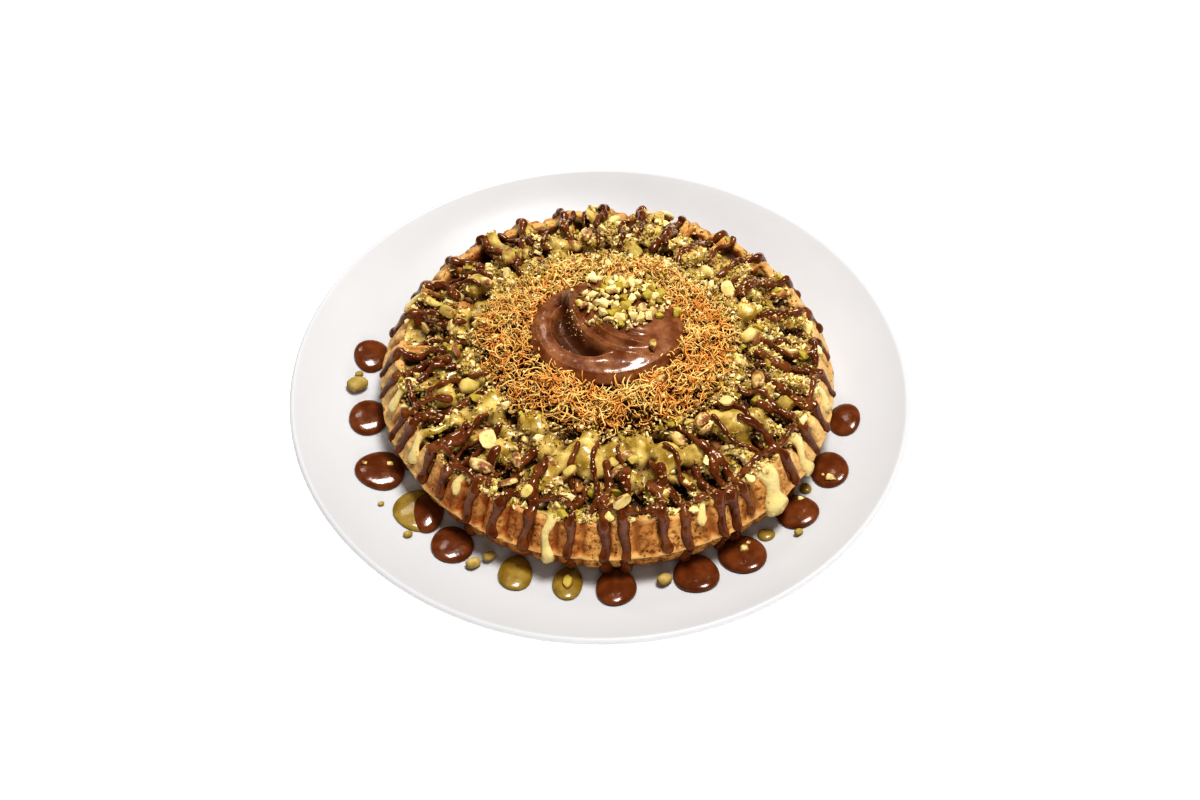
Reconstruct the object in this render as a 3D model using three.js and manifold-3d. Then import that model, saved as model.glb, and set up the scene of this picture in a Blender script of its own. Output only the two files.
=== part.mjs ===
// A round waffle on a white plate, topped with pistachio cream, a nest of shredded pastry (kataifi),
// a spooned swirl of chocolate and chopped pistachios, with chocolate and cream run down its side.
// Millimetres, +Z up. The origin is on the table, under the middle of the plate. The front is -Y.
import * as THREE from 'three';
import { mergeVertices } from 'three/addons/utils/BufferGeometryUtils.js';
import Module from 'manifold-3d';

const wasm = await Module();
wasm.setup();

// Distance that pieces resting on each other keep
const GAP = 0.3;

// Plate
const PLATE_RADIUS = 135;
const PLATE_RIM_HEIGHT = 20;
const PLATE_FLOOR_TOP = 4.5;
const PLATE_THICKNESS = 3;
const PLATE_FLAT_RADIUS = 99.5;
const PLATE_RISE_POWER = 1.7;
const LIP_WIDTH = 3.4;
// Rings of the rising part, as shares of the way from the flat to the lip
const RISE_RINGS = [0, 0.3, 0.6, 0.97];
const FOOT_INNER_RADIUS = 66;
const FOOT_OUTER_RADIUS = 70;
const FOOT_SLOPE = 1.2;
// How much further out the rising part's underside reaches at the lip than its upper face
const RIM_LEAN = 1.2;
const PLATE_SEGMENTS = 48;

// Waffle
const WAFFLE_X = 3.3;
const WAFFLE_Y = 2.5;
const WAFFLE_BOTTOM = PLATE_FLOOR_TOP + GAP;
const WAFFLE_TOP = 32;
const WAFFLE_FOOT_RADIUS = 95.5;
const WAFFLE_EDGE_RADIUS = 91;
const SEAM_HEIGHT = 18;
const SEAM_RADIUS = 99.3;
const SEAM_THICKNESS = 1.2;
const WALL_RADIUS_OVER_SEAM = 98;
const WALL_RADIUS_UNDER_SEAM = 97.5;
const FLUTES = 56;
const SAMPLES_PER_FLUTE = 3;
// Half width of the groove between two flutes, as a share of a flute
const GROOVE_SHARE = 0.25;
const UPPER_GROOVE = 1.6;
const LOWER_GROOVE = 1.2;
const EDGE_NOTCH = 1.2;
const EDGE_UNEVENNESS = 0.5;
const POCKETS = 28;
const POCKET_INNER_RADIUS = 75;
const POCKET_OUTER_RADIUS = 86.5;
// What the cream leaves of each pocket's depth: the floor lies between these heights
const POCKET_FLOOR_LOW = 23;
const POCKET_FLOOR_HIGH = 28.5;
const POCKET_DRAFT = 1.2;
const RIDGE_HALF_WIDTH = 2.2;

// Chocolate drizzle that hangs over the waffle's edge
const STRAND_RADIUS = 1.35;
const STRAND_OFF_WALL = 0.6;
// Angle in degrees and height of the lower end, as seen along the front half
const FRONT_DRIPS = [
  [-179, 14.5], [-171.5, 11.5], [-157.8, 16], [-153.2, 10.5], [-142.2, 19], [-135.4, 19.5],
  [-126, 10.5], [-118.5, 17.5], [-110.2, 16.5], [-99.3, 11.5], [-90.8, 10.5], [-86, 10.5],
  [-76.2, 18.5], [-70.8, 10.5], [-61.4, 10.5], [-57.6, 12], [-53.4, 21], [-37.8, 10.5],
  [-27.3, 10.5], [-19.2, 17], [-7.7, 14],
];
const BACK_DRIPS = 12;
const BACK_DRIPS_START = 3;
const BACK_DRIPS_STEP = 14.7;
const BACK_DRIPS_LOWEST = 17;
const BACK_DRIPS_HIGHEST = 25;

// Pistachio cream
const CREAM_BOTTOM = WAFFLE_TOP + GAP;
const CREAM_EDGE_RADIUS = 72.5;
const CREAM_EDGE_WAVE = 1.5;
const CREAM_COAT = 1.5;
const CREAM_DOME = 6;
const CREAM_DOME_RADIUS = 60;
const CREAM_RIPPLE = 0.5;
// Lumps: x, y, half length, half width, height
const CREAM_LUMPS = [
  [-6.9, -57, 9, 8, 5], [-33.4, -26.9, 6, 5, 2.5], [16.2, -53.4, 6, 5, 3.5], [55.5, -41.4, 8, 8, 6],
  [40.5, -56.2, 6, 5, 3.5], [67, -24.4, 5, 9, 3.5], [-64.5, -26.3, 5, 6, 3.5], [-18.3, 63.6, 6, 5, 3],
  [-4.6, 66, 6, 4, 3], [11.4, 63.6, 6, 5, 3], [-55, 40, 6, 6, 3], [-22, -66, 7, 5, 3],
  [-40, -54, 7, 5, 2.5], [28, -60, 6, 5, 3.5], [64, 22, 6, 6, 3], [40, 54, 7, 5, 3], [-62, 14, 5, 7, 3],
];
// Tongues that run over the edge: angle in degrees, half width, height of the lower end
const CREAM_TONGUES = [
  [-45.6, 5, 12.5], [-32.4, 2.8, 13], [-104.7, 2.3, 12], [-66, 1.9, 24], [-130.6, 1.9, 25],
  [-148, 2.4, 20], [-164.8, 2.6, 22], [-13.5, 2.6, 19], [29.2, 2.8, 24], [73, 3, 25],
  [94.6, 2.6, 26], [127.4, 3, 23], [160, 2.6, 22],
];
const TONGUE_HALF_THICKNESS = 1.1;
const TONGUE_START_RADIUS = 68;
// Pistachio pieces on the cream: x, y, length. Width and height are shares of the length.
const NUT_WIDTH_SHARE = 0.62;
const NUT_HEIGHT_SHARE = 0.5;
const TOP_NUTS = [
  [-55.2, -20.3, 10], [-45.5, -51, 10], [-33, -62, 8], [-13, -67, 7], [7, -66, 9], [10, -59, 7],
  [32, -50, 8], [43, -46, 8], [66, -22, 9], [48, 45, 8], [57, 36, 9], [59, 29, 8], [66.5, 4, 8],
  [16, 60, 8], [-6, 66, 7], [-12, 63, 8], [-41, 52, 9], [-33, 56, 8], [-66, 15, 8], [-62, -2, 7],
  [-50, 36, 7], [36, 60, 7], [-20, -62, 6], [52, -36, 7],
];
const CREAM_STRANDS = 9;

// Nest of shredded pastry
const NEST_HALF_LENGTH = 57;
const NEST_HALF_WIDTH = 52;
const NEST_TOP = 45;
const NEST_FLAT_SHARE = 0.66;
const NEST_EDGE_RISE = 2.4;
const NEST_BUMP = 0.9;
const DISC_SEGMENTS = 48;
const NEST_STRANDS = 12;
const NEST_STRAND_RADIUS = 0.45;
const NEST_STRAND_RISE = 0.9;

// Chocolate swirl
const SWIRL_X = 2.9;
const SWIRL_Y = 0;
const SWIRL_BASE = NEST_TOP + GAP;
const SWIRL_HALF_LENGTH = 33.5;
const SWIRL_HALF_WIDTH = 29.5;
const SWIRL_THICKNESS = 6;
const SWIRL_PEAK = 57.5;
const SWIRL_SEGMENTS = 38;
// The main ridge is an arc from the peak round to the lower right
const RIDGE_X = 14.5;
const RIDGE_Y = 11.5;
const RIDGE_RADIUS = 30;
const RIDGE_START = 173;
const RIDGE_END = 272;
const RIDGE_WIDTH = 3.4;
const RIDGE_LOW_RISE = 1.2;
const SECOND_RIDGE_RADIUS = 22.5;
const SECOND_RIDGE_WIDTH = 2;
const SECOND_RIDGE_RISE = 1.1;
// The valley beside it is round, and the ring of chocolate round that is its bank
const VALLEY_X = -6;
const VALLEY_Y = -1;
const VALLEY_RADIUS = 18;
const VALLEY_DEPTH = 4;
// A raised band just inside the swirl's outline
const BAND_SHARE = 0.86;
const BAND_RISE = 0.9;
// The heap of chopped nuts, placed from the swirl's middle
const HEAP_PIECES = 26;
const HEAP_X = 6.5;
const HEAP_Y = 9.5;
const HEAP_HALF_LENGTH = 15.5;
const HEAP_HALF_WIDTH = 14;
const HEAP_LARGEST = 5.4;
const HEAP_RISE = 2.7;

// Drops on the plate: name, angle in degrees and distance from the waffle's middle, half sizes, height
const DROPS = [
  ['chocolate_drop_1', 169.6, 108.7, 7.7, 9.2, 3.6],
  ['chocolate_drop_2', -171.3, 105.9, 8.3, 10.2, 3.8],
  ['chocolate_drop_3', -154.9, 106.9, 10.2, 10.8, 4],
  ['chocolate_drop_4', -140.4, 103.2, 9.8, 11, 3.6],
  ['chocolate_drop_5', -127.5, 105, 9, 9.2, 3.8],
  ['cream_drop_1', -111.1, 104.1, 7.2, 8.6, 3.2],
  ['cream_drop_2', -99.1, 103.2, 6.2, 8.2, 2.8],
  ['chocolate_drop_6', -88.3, 104.1, 8.1, 9.6, 3.8],
  ['chocolate_drop_7', -70, 104, 9.1, 10.2, 4],
  ['chocolate_drop_8', -58.2, 104, 9.8, 10.2, 4],
  ['chocolate_drop_9', -40.4, 103.2, 9.2, 9.2, 3.8],
  ['chocolate_drop_10', -25.7, 104.7, 8, 9.8, 3.8],
  ['chocolate_drop_11', -9.9, 105, 7, 8.8, 3.6],
  ['cream_drop_3', -50.1, 101.6, 3.6, 3.2, 1.8],
  ['cream_drop_4', -33, 99.6, 2.4, 3, 1.8],
];
const DROP_SEGMENTS = 12;
const DROP_OFF_PLATE = GAP + 0.05;
const WAFFLE_CLEARANCE_RADIUS = 97;
// The cream crescent that lies against the fourth chocolate drop
const CRESCENT_OF = 'chocolate_drop_4';
const CRESCENT_NAME = 'cream_crescent';
const CRESCENT_SHIFT = [6.4, 2.6];
// The half kernel stuck in one drop of cream: length, width, height, turn in degrees
const KERNEL_DROP = 'cream_drop_2';
const KERNEL_IN_DROP = [6.6, 4.4, 3.6, 80];
// Drops of chocolate with a crumb of pistachio on them
const CRUMB_DROPS = ['chocolate_drop_8', 'chocolate_drop_10'];
const CRUMB_SIZE = 4.6;

// Pistachio pieces on the plate: name, x, y, length, width, height, turn in degrees
const PLATE_NUTS = [
  ['plate_nut_1', -51.1, -90.3, 7, 5.4, 4.6, 60],
  ['plate_nut_2', -44.9, -86.6, 6.2, 5, 4.4, 15],
  ['plate_nut_3', 26.1, -97.9, 7.4, 5.2, 4.4, 10],
  ['plate_nut_4', -107.5, 3.4, 10.4, 7, 4.6, -15],
  ['plate_nut_5', -107.8, 10.6, 4, 3.6, 3.4, 0],
  ['plate_nut_6', -78.6, -76.8, 4.4, 3.6, 3, 30],
  ['plate_nut_7', -91.2, -61.2, 3, 2.8, 2.6, 0],
  ['plate_nut_8', 81.6, -76.2, 4.6, 4, 3.6, 20],
];

// Colours and finishes
const material = (color, roughness, metalness = 0) =>
  new THREE.MeshStandardMaterial({ color, roughness, metalness });
const porcelain = material(0xf2f0f0, 0.25);
const bakedBatter = material(0xc8914a, 0.7);
const pistachioCream = material(0xb9ad62, 0.4);
const shreddedPastry = material(0xdba85c, 0.75);
const chocolate = material(0x5e3322, 0.3);
const kernel = material(0xa8b04c, 0.6);

// Helpers

// A repeatable number from 0 to 1 for each whole number
function chance(n) {
  const value = Math.sin(n * 12.9898) * 43758.5453;
  return value - Math.floor(value);
}

function smooth(low, high, value) {
  const t = Math.min(1, Math.max(0, (value - low) / (high - low)));
  return t * t * (3 - 2 * t);
}

function turnOf(degrees) {
  return THREE.MathUtils.degToRad(degrees);
}

// Joins equal corners and drops the triangles that this leaves without area
function weld(geometry) {
  const plain = geometry.clone();
  plain.deleteAttribute('normal');
  plain.deleteAttribute('uv');
  const merged = mergeVertices(plain, 1e-4);
  const kept = [];
  const index = merged.index.array;
  for (let i = 0; i < index.length; i += 3) {
    const [a, b, c] = [index[i], index[i + 1], index[i + 2]];
    if (a !== b && b !== c && c !== a) kept.push(a, b, c);
  }
  merged.setIndex(kept);
  return outward(merged);
}

// Turns the faces round where they enclose a negative volume
function outward(geometry) {
  const position = geometry.attributes.position;
  const index = geometry.index.array;
  const [a, b, c] = [new THREE.Vector3(), new THREE.Vector3(), new THREE.Vector3()];
  let volume = 0;
  for (let i = 0; i < index.length; i += 3) {
    a.fromBufferAttribute(position, index[i]);
    b.fromBufferAttribute(position, index[i + 1]);
    c.fromBufferAttribute(position, index[i + 2]);
    volume += a.dot(b.cross(c));
  }
  if (volume < 0) {
    const turned = [];
    for (let i = 0; i < index.length; i += 3) turned.push(index[i], index[i + 2], index[i + 1]);
    geometry.setIndex(turned);
  }
  return geometry;
}

// Moves every corner of a geometry by a function of its place
function shaped(geometry, move) {
  const position = geometry.attributes.position;
  const point = new THREE.Vector3();
  for (let i = 0; i < position.count; i += 1) {
    point.fromBufferAttribute(position, i);
    move(point);
    position.setXYZ(i, point.x, point.y, point.z);
  }
  return geometry;
}

// Revolves a profile of [radius, height] pairs about the Z axis
function turned(profile, segments) {
  const points = profile.map(([radius, height]) => new THREE.Vector2(radius, height));
  const lathe = new THREE.LatheGeometry(points, segments);
  lathe.rotateX(Math.PI / 2);
  return lathe;
}

function asSolid(geometry) {
  const welded = weld(geometry);
  const vertProperties = new Float32Array(welded.attributes.position.array);
  const triVerts = new Uint32Array(welded.index.array);
  return new wasm.Manifold(new wasm.Mesh({ numProp: 3, vertProperties, triVerts }));
}

// The largest shell alone: a hollow that fusing seals is filled, and a loose scrap is dropped
function asGeometry(solid) {
  const shells = solid.decompose().sort((one, other) => other.volume() - one.volume());
  const mesh = shells[0].getMesh();
  const geometry = new THREE.BufferGeometry();
  geometry.setAttribute('position', new THREE.BufferAttribute(mesh.vertProperties, 3));
  geometry.setIndex(new THREE.BufferAttribute(mesh.triVerts, 1));
  return geometry;
}

// Fuses geometries onto a first one
function fused(base, additions) {
  let solid = asSolid(base);
  for (const addition of additions) solid = solid.add(asSolid(addition));
  return asGeometry(solid);
}

// A tube of oval section along points in the XZ plane, turned about the waffle's middle. The first
// step climbs a little, which lays the section's x across the path and its y off the surface.
function overTheEdge(points, halfThickness, halfWidth, sides, steps, degrees) {
  const path = new THREE.CatmullRomCurve3(points.map(([r, z]) => new THREE.Vector3(r, 0, z)));
  const section = new THREE.Shape();
  for (let i = 0; i < sides; i += 1) {
    const around = 2 * Math.PI * (i + 0.5) / sides;
    const [u, v] = [halfWidth * Math.cos(around), halfThickness * Math.sin(around)];
    if (i === 0) section.moveTo(u, v);
    else section.lineTo(u, v);
  }
  section.closePath();
  const tube = new THREE.ExtrudeGeometry(section, { steps, extrudePath: path, bevelEnabled: false });
  tube.rotateZ(turnOf(degrees));
  tube.translate(WAFFLE_X, WAFFLE_Y, 0);
  return tube;
}

// A round tube along free points
function strand(points, radius, sides, steps) {
  const path = new THREE.CatmullRomCurve3(points);
  const section = new THREE.Shape();
  section.absarc(0, 0, radius, 0, 2 * Math.PI);
  const corners = new THREE.Shape(section.getSpacedPoints(sides).slice(0, sides));
  return new THREE.ExtrudeGeometry(corners, { steps, extrudePath: path, bevelEnabled: false });
}

// A rounded kernel with its middle at the origin
function kernelShape(length, width, height, across, up) {
  const body = new THREE.SphereGeometry(0.5, across, up);
  body.scale(length, width, height);
  return body;
}

// A broken piece of nut: an uneven octahedron
function chip(size, seed) {
  const body = weld(new THREE.OctahedronGeometry(size / 2));
  let corner = seed;
  return shaped(body, (point) => {
    corner += 1;
    point.multiplyScalar(0.8 + 0.45 * chance(corner));
  });
}

// Plate

const LIP_MIDDLE = PLATE_RADIUS - LIP_WIDTH / 2;

function riseHeight(share) {
  return PLATE_FLOOR_TOP + (PLATE_RIM_HEIGHT - PLATE_FLOOR_TOP) * share ** PLATE_RISE_POWER;
}

function riseRadius(share) {
  return PLATE_FLAT_RADIUS + share * (LIP_MIDDLE - PLATE_FLAT_RADIUS);
}

// Height of the plate's upper face, straight between its rings
function plateTop(radius) {
  const share = (radius - PLATE_FLAT_RADIUS) / (LIP_MIDDLE - PLATE_FLAT_RADIUS);
  if (share <= 0) return PLATE_FLOOR_TOP;
  const outer = RISE_RINGS.findIndex((ring) => ring >= share);
  const [low, high] = [RISE_RINGS[outer - 1], RISE_RINGS[outer]];
  const t = (share - low) / (high - low);
  return riseHeight(low) + t * (riseHeight(high) - riseHeight(low));
}

function plate() {
  const underside = PLATE_FLOOR_TOP - PLATE_THICKNESS;
  const profile = [
    [0, underside], [FOOT_INNER_RADIUS - FOOT_SLOPE, underside], [FOOT_INNER_RADIUS, 0],
    [FOOT_OUTER_RADIUS, 0], [FOOT_OUTER_RADIUS + FOOT_SLOPE, underside],
  ];
  for (const share of RISE_RINGS) {
    profile.push([riseRadius(share) + RIM_LEAN * share, riseHeight(share) - PLATE_THICKNESS]);
  }
  const lipSteps = 2;
  for (let i = 0; i <= lipSteps; i += 1) {
    const around = (Math.PI / 2) * (i / lipSteps);
    const half = LIP_WIDTH / 2;
    profile.push([LIP_MIDDLE + half * Math.cos(around), PLATE_RIM_HEIGHT - half + half * Math.sin(around)]);
  }
  for (const share of [...RISE_RINGS].reverse()) profile.push([riseRadius(share), riseHeight(share)]);
  profile.push([0, PLATE_FLOOR_TOP]);
  return weld(turned(profile, PLATE_SEGMENTS));
}

// Waffle

// 1 in the groove between two flutes, 0 on their faces
function groove(angle) {
  const flute = angle * FLUTES / (2 * Math.PI);
  const away = Math.abs(flute - Math.round(flute));
  return Math.max(0, 1 - away / GROOVE_SHARE);
}

function fluteNumber(angle) {
  const flute = Math.floor(angle * FLUTES / (2 * Math.PI) + 1e-6);
  return (flute % FLUTES + FLUTES) % FLUTES;
}

// Radius of the waffle's side at a height, on the faces of the flutes
function wallRadius(height) {
  if (height > SEAM_HEIGHT) {
    const t = (height - SEAM_HEIGHT) / (WAFFLE_TOP - SEAM_HEIGHT);
    return WALL_RADIUS_OVER_SEAM + t * (WAFFLE_EDGE_RADIUS - WALL_RADIUS_OVER_SEAM);
  }
  const t = (height - WAFFLE_BOTTOM) / (SEAM_HEIGHT - WAFFLE_BOTTOM);
  return WAFFLE_FOOT_RADIUS + t * (WALL_RADIUS_UNDER_SEAM - WAFFLE_FOOT_RADIUS);
}

function waffleBody() {
  const half = SEAM_THICKNESS / 2;
  const profile = [
    [0, WAFFLE_BOTTOM], [WAFFLE_FOOT_RADIUS, WAFFLE_BOTTOM],
    [WALL_RADIUS_UNDER_SEAM, SEAM_HEIGHT - half], [SEAM_RADIUS, SEAM_HEIGHT],
    [WALL_RADIUS_OVER_SEAM, SEAM_HEIGHT + half], [WAFFLE_EDGE_RADIUS, WAFFLE_TOP], [0, WAFFLE_TOP],
  ];
  const body = weld(turned(profile, FLUTES * SAMPLES_PER_FLUTE));
  shaped(body, (point) => {
    const radius = Math.hypot(point.x, point.y);
    const angle = Math.atan2(point.y, point.x);
    const onSeam = Math.abs(point.z - SEAM_HEIGHT) < half / 2;
    if (radius < 1 || onSeam) return;
    const upper = point.z > SEAM_HEIGHT;
    const depth = groove(angle) * (upper ? UPPER_GROOVE : LOWER_GROOVE);
    const scale = (radius - depth) / radius;
    point.x *= scale;
    point.y *= scale;
    if (point.z > WAFFLE_TOP - 1) {
      point.z -= EDGE_NOTCH * groove(angle) + EDGE_UNEVENNESS * chance(fluteNumber(angle));
    }
  });
  body.translate(WAFFLE_X, WAFFLE_Y, 0);
  return body;
}

// One hollow between the ridges: narrower at its floor
function pocket(number) {
  const middle = 2 * Math.PI * (number + 0.5) / POCKETS;
  const above = WAFFLE_TOP + 2;
  const floor = POCKET_FLOOR_LOW + (POCKET_FLOOR_HIGH - POCKET_FLOOR_LOW) * chance(number + 17);
  const box = weld(new THREE.BoxGeometry(2, 2, 2));
  return shaped(box, (point) => {
    const draft = point.z < 0 ? POCKET_DRAFT : 0;
    const radius = point.x < 0 ? POCKET_INNER_RADIUS + draft : POCKET_OUTER_RADIUS - draft;
    const halfTurn = Math.PI / POCKETS - (RIDGE_HALF_WIDTH + draft / 2) / radius;
    const angle = middle + halfTurn * Math.sign(point.y);
    point.set(
      WAFFLE_X + radius * Math.cos(angle),
      WAFFLE_Y + radius * Math.sin(angle),
      point.z < 0 ? floor : above,
    );
  });
}

// The drips of the whole edge as [degrees, height of the lower end]
function drips() {
  const list = [...FRONT_DRIPS];
  for (let i = 0; i < BACK_DRIPS; i += 1) {
    const degrees = BACK_DRIPS_START + BACK_DRIPS_STEP * i + 2 * (chance(i + 31) - 0.5);
    list.push([degrees, BACK_DRIPS_LOWEST + (BACK_DRIPS_HIGHEST - BACK_DRIPS_LOWEST) * chance(i + 47)]);
  }
  return list;
}

// Points from the top of the ridges over the edge and down the side, a little out of the wall
function edgeRoute(startRadius, lowerEnd, off) {
  const points = [[startRadius, WAFFLE_TOP + off], [WAFFLE_EDGE_RADIUS - 2.5, WAFFLE_TOP + off]];
  points.push([WAFFLE_EDGE_RADIUS + 0.7 * off, WAFFLE_TOP - 0.5 + 0.5 * off]);
  const middle = (WAFFLE_TOP + SEAM_HEIGHT) / 2;
  if (lowerEnd < middle - 1) points.push([wallRadius(middle) + off, middle]);
  if (lowerEnd < SEAM_HEIGHT) points.push([SEAM_RADIUS + 0.6 * off, SEAM_HEIGHT + 0.5]);
  const outside = lowerEnd < SEAM_HEIGHT ? SEAM_RADIUS - 0.4 : wallRadius(lowerEnd);
  points.push([outside + 0.6 * off, lowerEnd]);
  return points;
}

function drip([degrees, lowerEnd]) {
  const route = edgeRoute(POCKET_INNER_RADIUS + 2, lowerEnd, STRAND_OFF_WALL);
  return overTheEdge(route, STRAND_RADIUS, STRAND_RADIUS, 4, route.length - 1, degrees);
}

function waffle() {
  let solid = asSolid(waffleBody());
  for (let i = 0; i < POCKETS; i += 1) solid = solid.subtract(asSolid(pocket(i)));
  for (const piece of drips().map(drip)) solid = solid.add(asSolid(piece));
  return asGeometry(solid);
}

// Pistachio cream

function creamEdge(angle) {
  return CREAM_EDGE_RADIUS + CREAM_EDGE_WAVE * (0.6 * Math.sin(5 * angle + 1) + 0.4 * Math.sin(11 * angle));
}

// Height of the cream's surface at a place given from the waffle's middle
function creamTop(x, y) {
  const radius = Math.hypot(x, y);
  const dome = CREAM_DOME * Math.max(0, 1 - (radius / CREAM_DOME_RADIUS) ** 2);
  let height = CREAM_BOTTOM + CREAM_COAT + dome;
  for (const [lumpX, lumpY, halfLength, halfWidth, rise] of CREAM_LUMPS) {
    const away = ((x + WAFFLE_X - lumpX) / halfLength) ** 2 + ((y + WAFFLE_Y - lumpY) / halfWidth) ** 2;
    height += rise * Math.exp(-away);
  }
  return height + CREAM_RIPPLE * Math.sin(0.31 * x + 1.3) * Math.sin(0.27 * y + 0.4);
}

// Outline of the nest, as a radius from the waffle's middle
function nestEdge(angle) {
  const [across, along] = [Math.cos(angle) / NEST_HALF_LENGTH, Math.sin(angle) / NEST_HALF_WIDTH];
  return (1 + 0.022 * Math.sin(7 * angle) + 0.018 * Math.sin(12 * angle + 2)) / Math.hypot(across, along);
}

// Rings that the cream's top and the nest's underside share, as shares of the nest's outline
const SHARED_RINGS = [0.4, 0.72, 1];
const NEST_TOP_RINGS = [NEST_FLAT_SHARE, 0.8, 0.91, 1];
// Rings of the cream outside the nest: 2 is the cream's own edge
const BARE_RINGS = [1.33, 1.67, 2];

// A disc about the waffle's middle. A ring is numbered by its share: up to 1 as far as an inner
// outline, and from 1 to 2 from there to an outer one. Top and underside are height functions.
// Mirrored, it splits its quads the other way, so an underside meets the top below it exactly.
function layeredDisc(undersideRings, topRings, mirrored, radiusAt, underside, top) {
  const profile = [[0, 0]];
  for (const share of undersideRings) profile.push([share, 0]);
  for (const share of [...topRings].reverse()) profile.push([share, 1]);
  profile.push([0, 1]);
  const disc = turned(profile, DISC_SEGMENTS);
  if (mirrored) disc.scale(1, -1, 1);
  return shaped(weld(disc), (point) => {
    const angle = Math.atan2(point.y, point.x);
    const radius = radiusAt(Math.hypot(point.x, point.y), angle);
    const [x, y] = [radius * Math.cos(angle), radius * Math.sin(angle)];
    point.set(x + WAFFLE_X, y + WAFFLE_Y, point.z < 0.5 ? underside(x, y) : top(x, y));
  });
}

function nestRadius(share, angle) {
  return share * nestEdge(angle);
}

function creamRadius(share, angle) {
  const nest = nestEdge(angle);
  return share <= 1 ? share * nest : nest + (share - 1) * (creamEdge(angle) - nest);
}

// A tongue of cream that stays clear of the edge and the side below it
function tongue([degrees, halfWidth, lowerEnd]) {
  const off = GAP + TONGUE_HALF_THICKNESS + 0.2;
  const edge = WAFFLE_EDGE_RADIUS + off + 0.6;
  const route = [[TONGUE_START_RADIUS, WAFFLE_TOP + off], [edge - 5, WAFFLE_TOP + off + 0.3]];
  route.push([edge, WAFFLE_TOP + 0.4], [wallRadius(26) + off + 0.3, 26]);
  const pastSeam = lowerEnd < SEAM_HEIGHT + 3;
  if (pastSeam) route.push([SEAM_RADIUS + off, SEAM_HEIGHT + 1]);
  const end = pastSeam ? SEAM_RADIUS + off - 0.3 : wallRadius(lowerEnd) + off + 0.2;
  if (lowerEnd < 25) route.push([end, lowerEnd]);
  return overTheEdge(route, TONGUE_HALF_THICKNESS, halfWidth, 4, 6, degrees);
}

function topNut([x, y, length], number) {
  const body = kernelShape(length, length * NUT_WIDTH_SHARE, length * NUT_HEIGHT_SHARE, 5, 3);
  body.rotateZ(Math.PI * chance(number + 5));
  body.translate(x, y, creamTop(x - WAFFLE_X, y - WAFFLE_Y) + length * 0.1);
  return body;
}

// A strand of drizzle lying on the cream between the nest and the cream's edge
function creamStrand(number) {
  const angle = turnOf(360 * (number + 0.35 * chance(number + 90)) / CREAM_STRANDS - 172);
  const inner = nestEdge(angle) + STRAND_RADIUS + 2.5;
  const points = [];
  for (const share of [0, 0.33, 0.67, 1]) {
    const radius = inner + share * (creamEdge(angle) - 1 - inner);
    const swing = angle + 0.05 * Math.sin(3 * share + number);
    const [x, y] = [radius * Math.cos(swing), radius * Math.sin(swing)];
    points.push(new THREE.Vector3(x + WAFFLE_X, y + WAFFLE_Y, creamTop(x, y) + 0.7));
  }
  return strand(points, STRAND_RADIUS, 3, 3);
}

function cream() {
  const topRings = [...SHARED_RINGS, ...BARE_RINGS];
  const disc = layeredDisc([2], topRings, false, creamRadius, () => CREAM_BOTTOM, creamTop);
  const strands = Array.from({ length: CREAM_STRANDS }, (_, i) => creamStrand(i));
  return fused(disc, [...CREAM_TONGUES.map(tongue), ...TOP_NUTS.map(topNut), ...strands]);
}

// Nest of shredded pastry

function nestTop(x, y) {
  const angle = Math.atan2(y, x);
  const share = Math.hypot(x, y) / nestEdge(angle);
  const rim = creamTop(x, y) + GAP + NEST_EDGE_RISE;
  if (share < NEST_FLAT_SHARE) return NEST_TOP;
  const wave = Math.sin(9 * angle + 6 * share) * Math.cos(13 * angle - 9 * share);
  const bump = NEST_BUMP * wave * smooth(NEST_FLAT_SHARE, 0.8, share);
  const fall = smooth(NEST_FLAT_SHARE, 1.02, share);
  return Math.max(rim, NEST_TOP + (rim - NEST_TOP) * fall + bump);
}

// A loose strand that bows up out of the nest
function nestStrand(number) {
  const angle = 2 * Math.PI * (number + 0.6 * chance(number)) / NEST_STRANDS;
  const share = 0.83 + 0.12 * chance(number + 200);
  const heading = 2 * Math.PI * chance(number + 300);
  const reach = 3 + 2 * chance(number + 400);
  const radius = nestEdge(angle) * share;
  const points = [-1, -0.3, 0.4, 1].map((t) => {
    const x = radius * Math.cos(angle) + reach * t * Math.cos(heading + 0.6 * t);
    const y = radius * Math.sin(angle) + reach * t * Math.sin(heading + 0.6 * t);
    const height = nestTop(x, y) + NEST_STRAND_RISE * (1 - t * t) - 0.4;
    return new THREE.Vector3(x + WAFFLE_X, y + WAFFLE_Y, height);
  });
  return strand(points, NEST_STRAND_RADIUS, 3, 3);
}

function nest() {
  const rest = (x, y) => creamTop(x, y) + GAP;
  const disc = layeredDisc(SHARED_RINGS, NEST_TOP_RINGS, true, nestRadius, rest, nestTop);
  const strands = Array.from({ length: NEST_STRANDS }, (_, i) => nestStrand(i));
  return fused(disc, strands);
}

// Chocolate swirl

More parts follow.
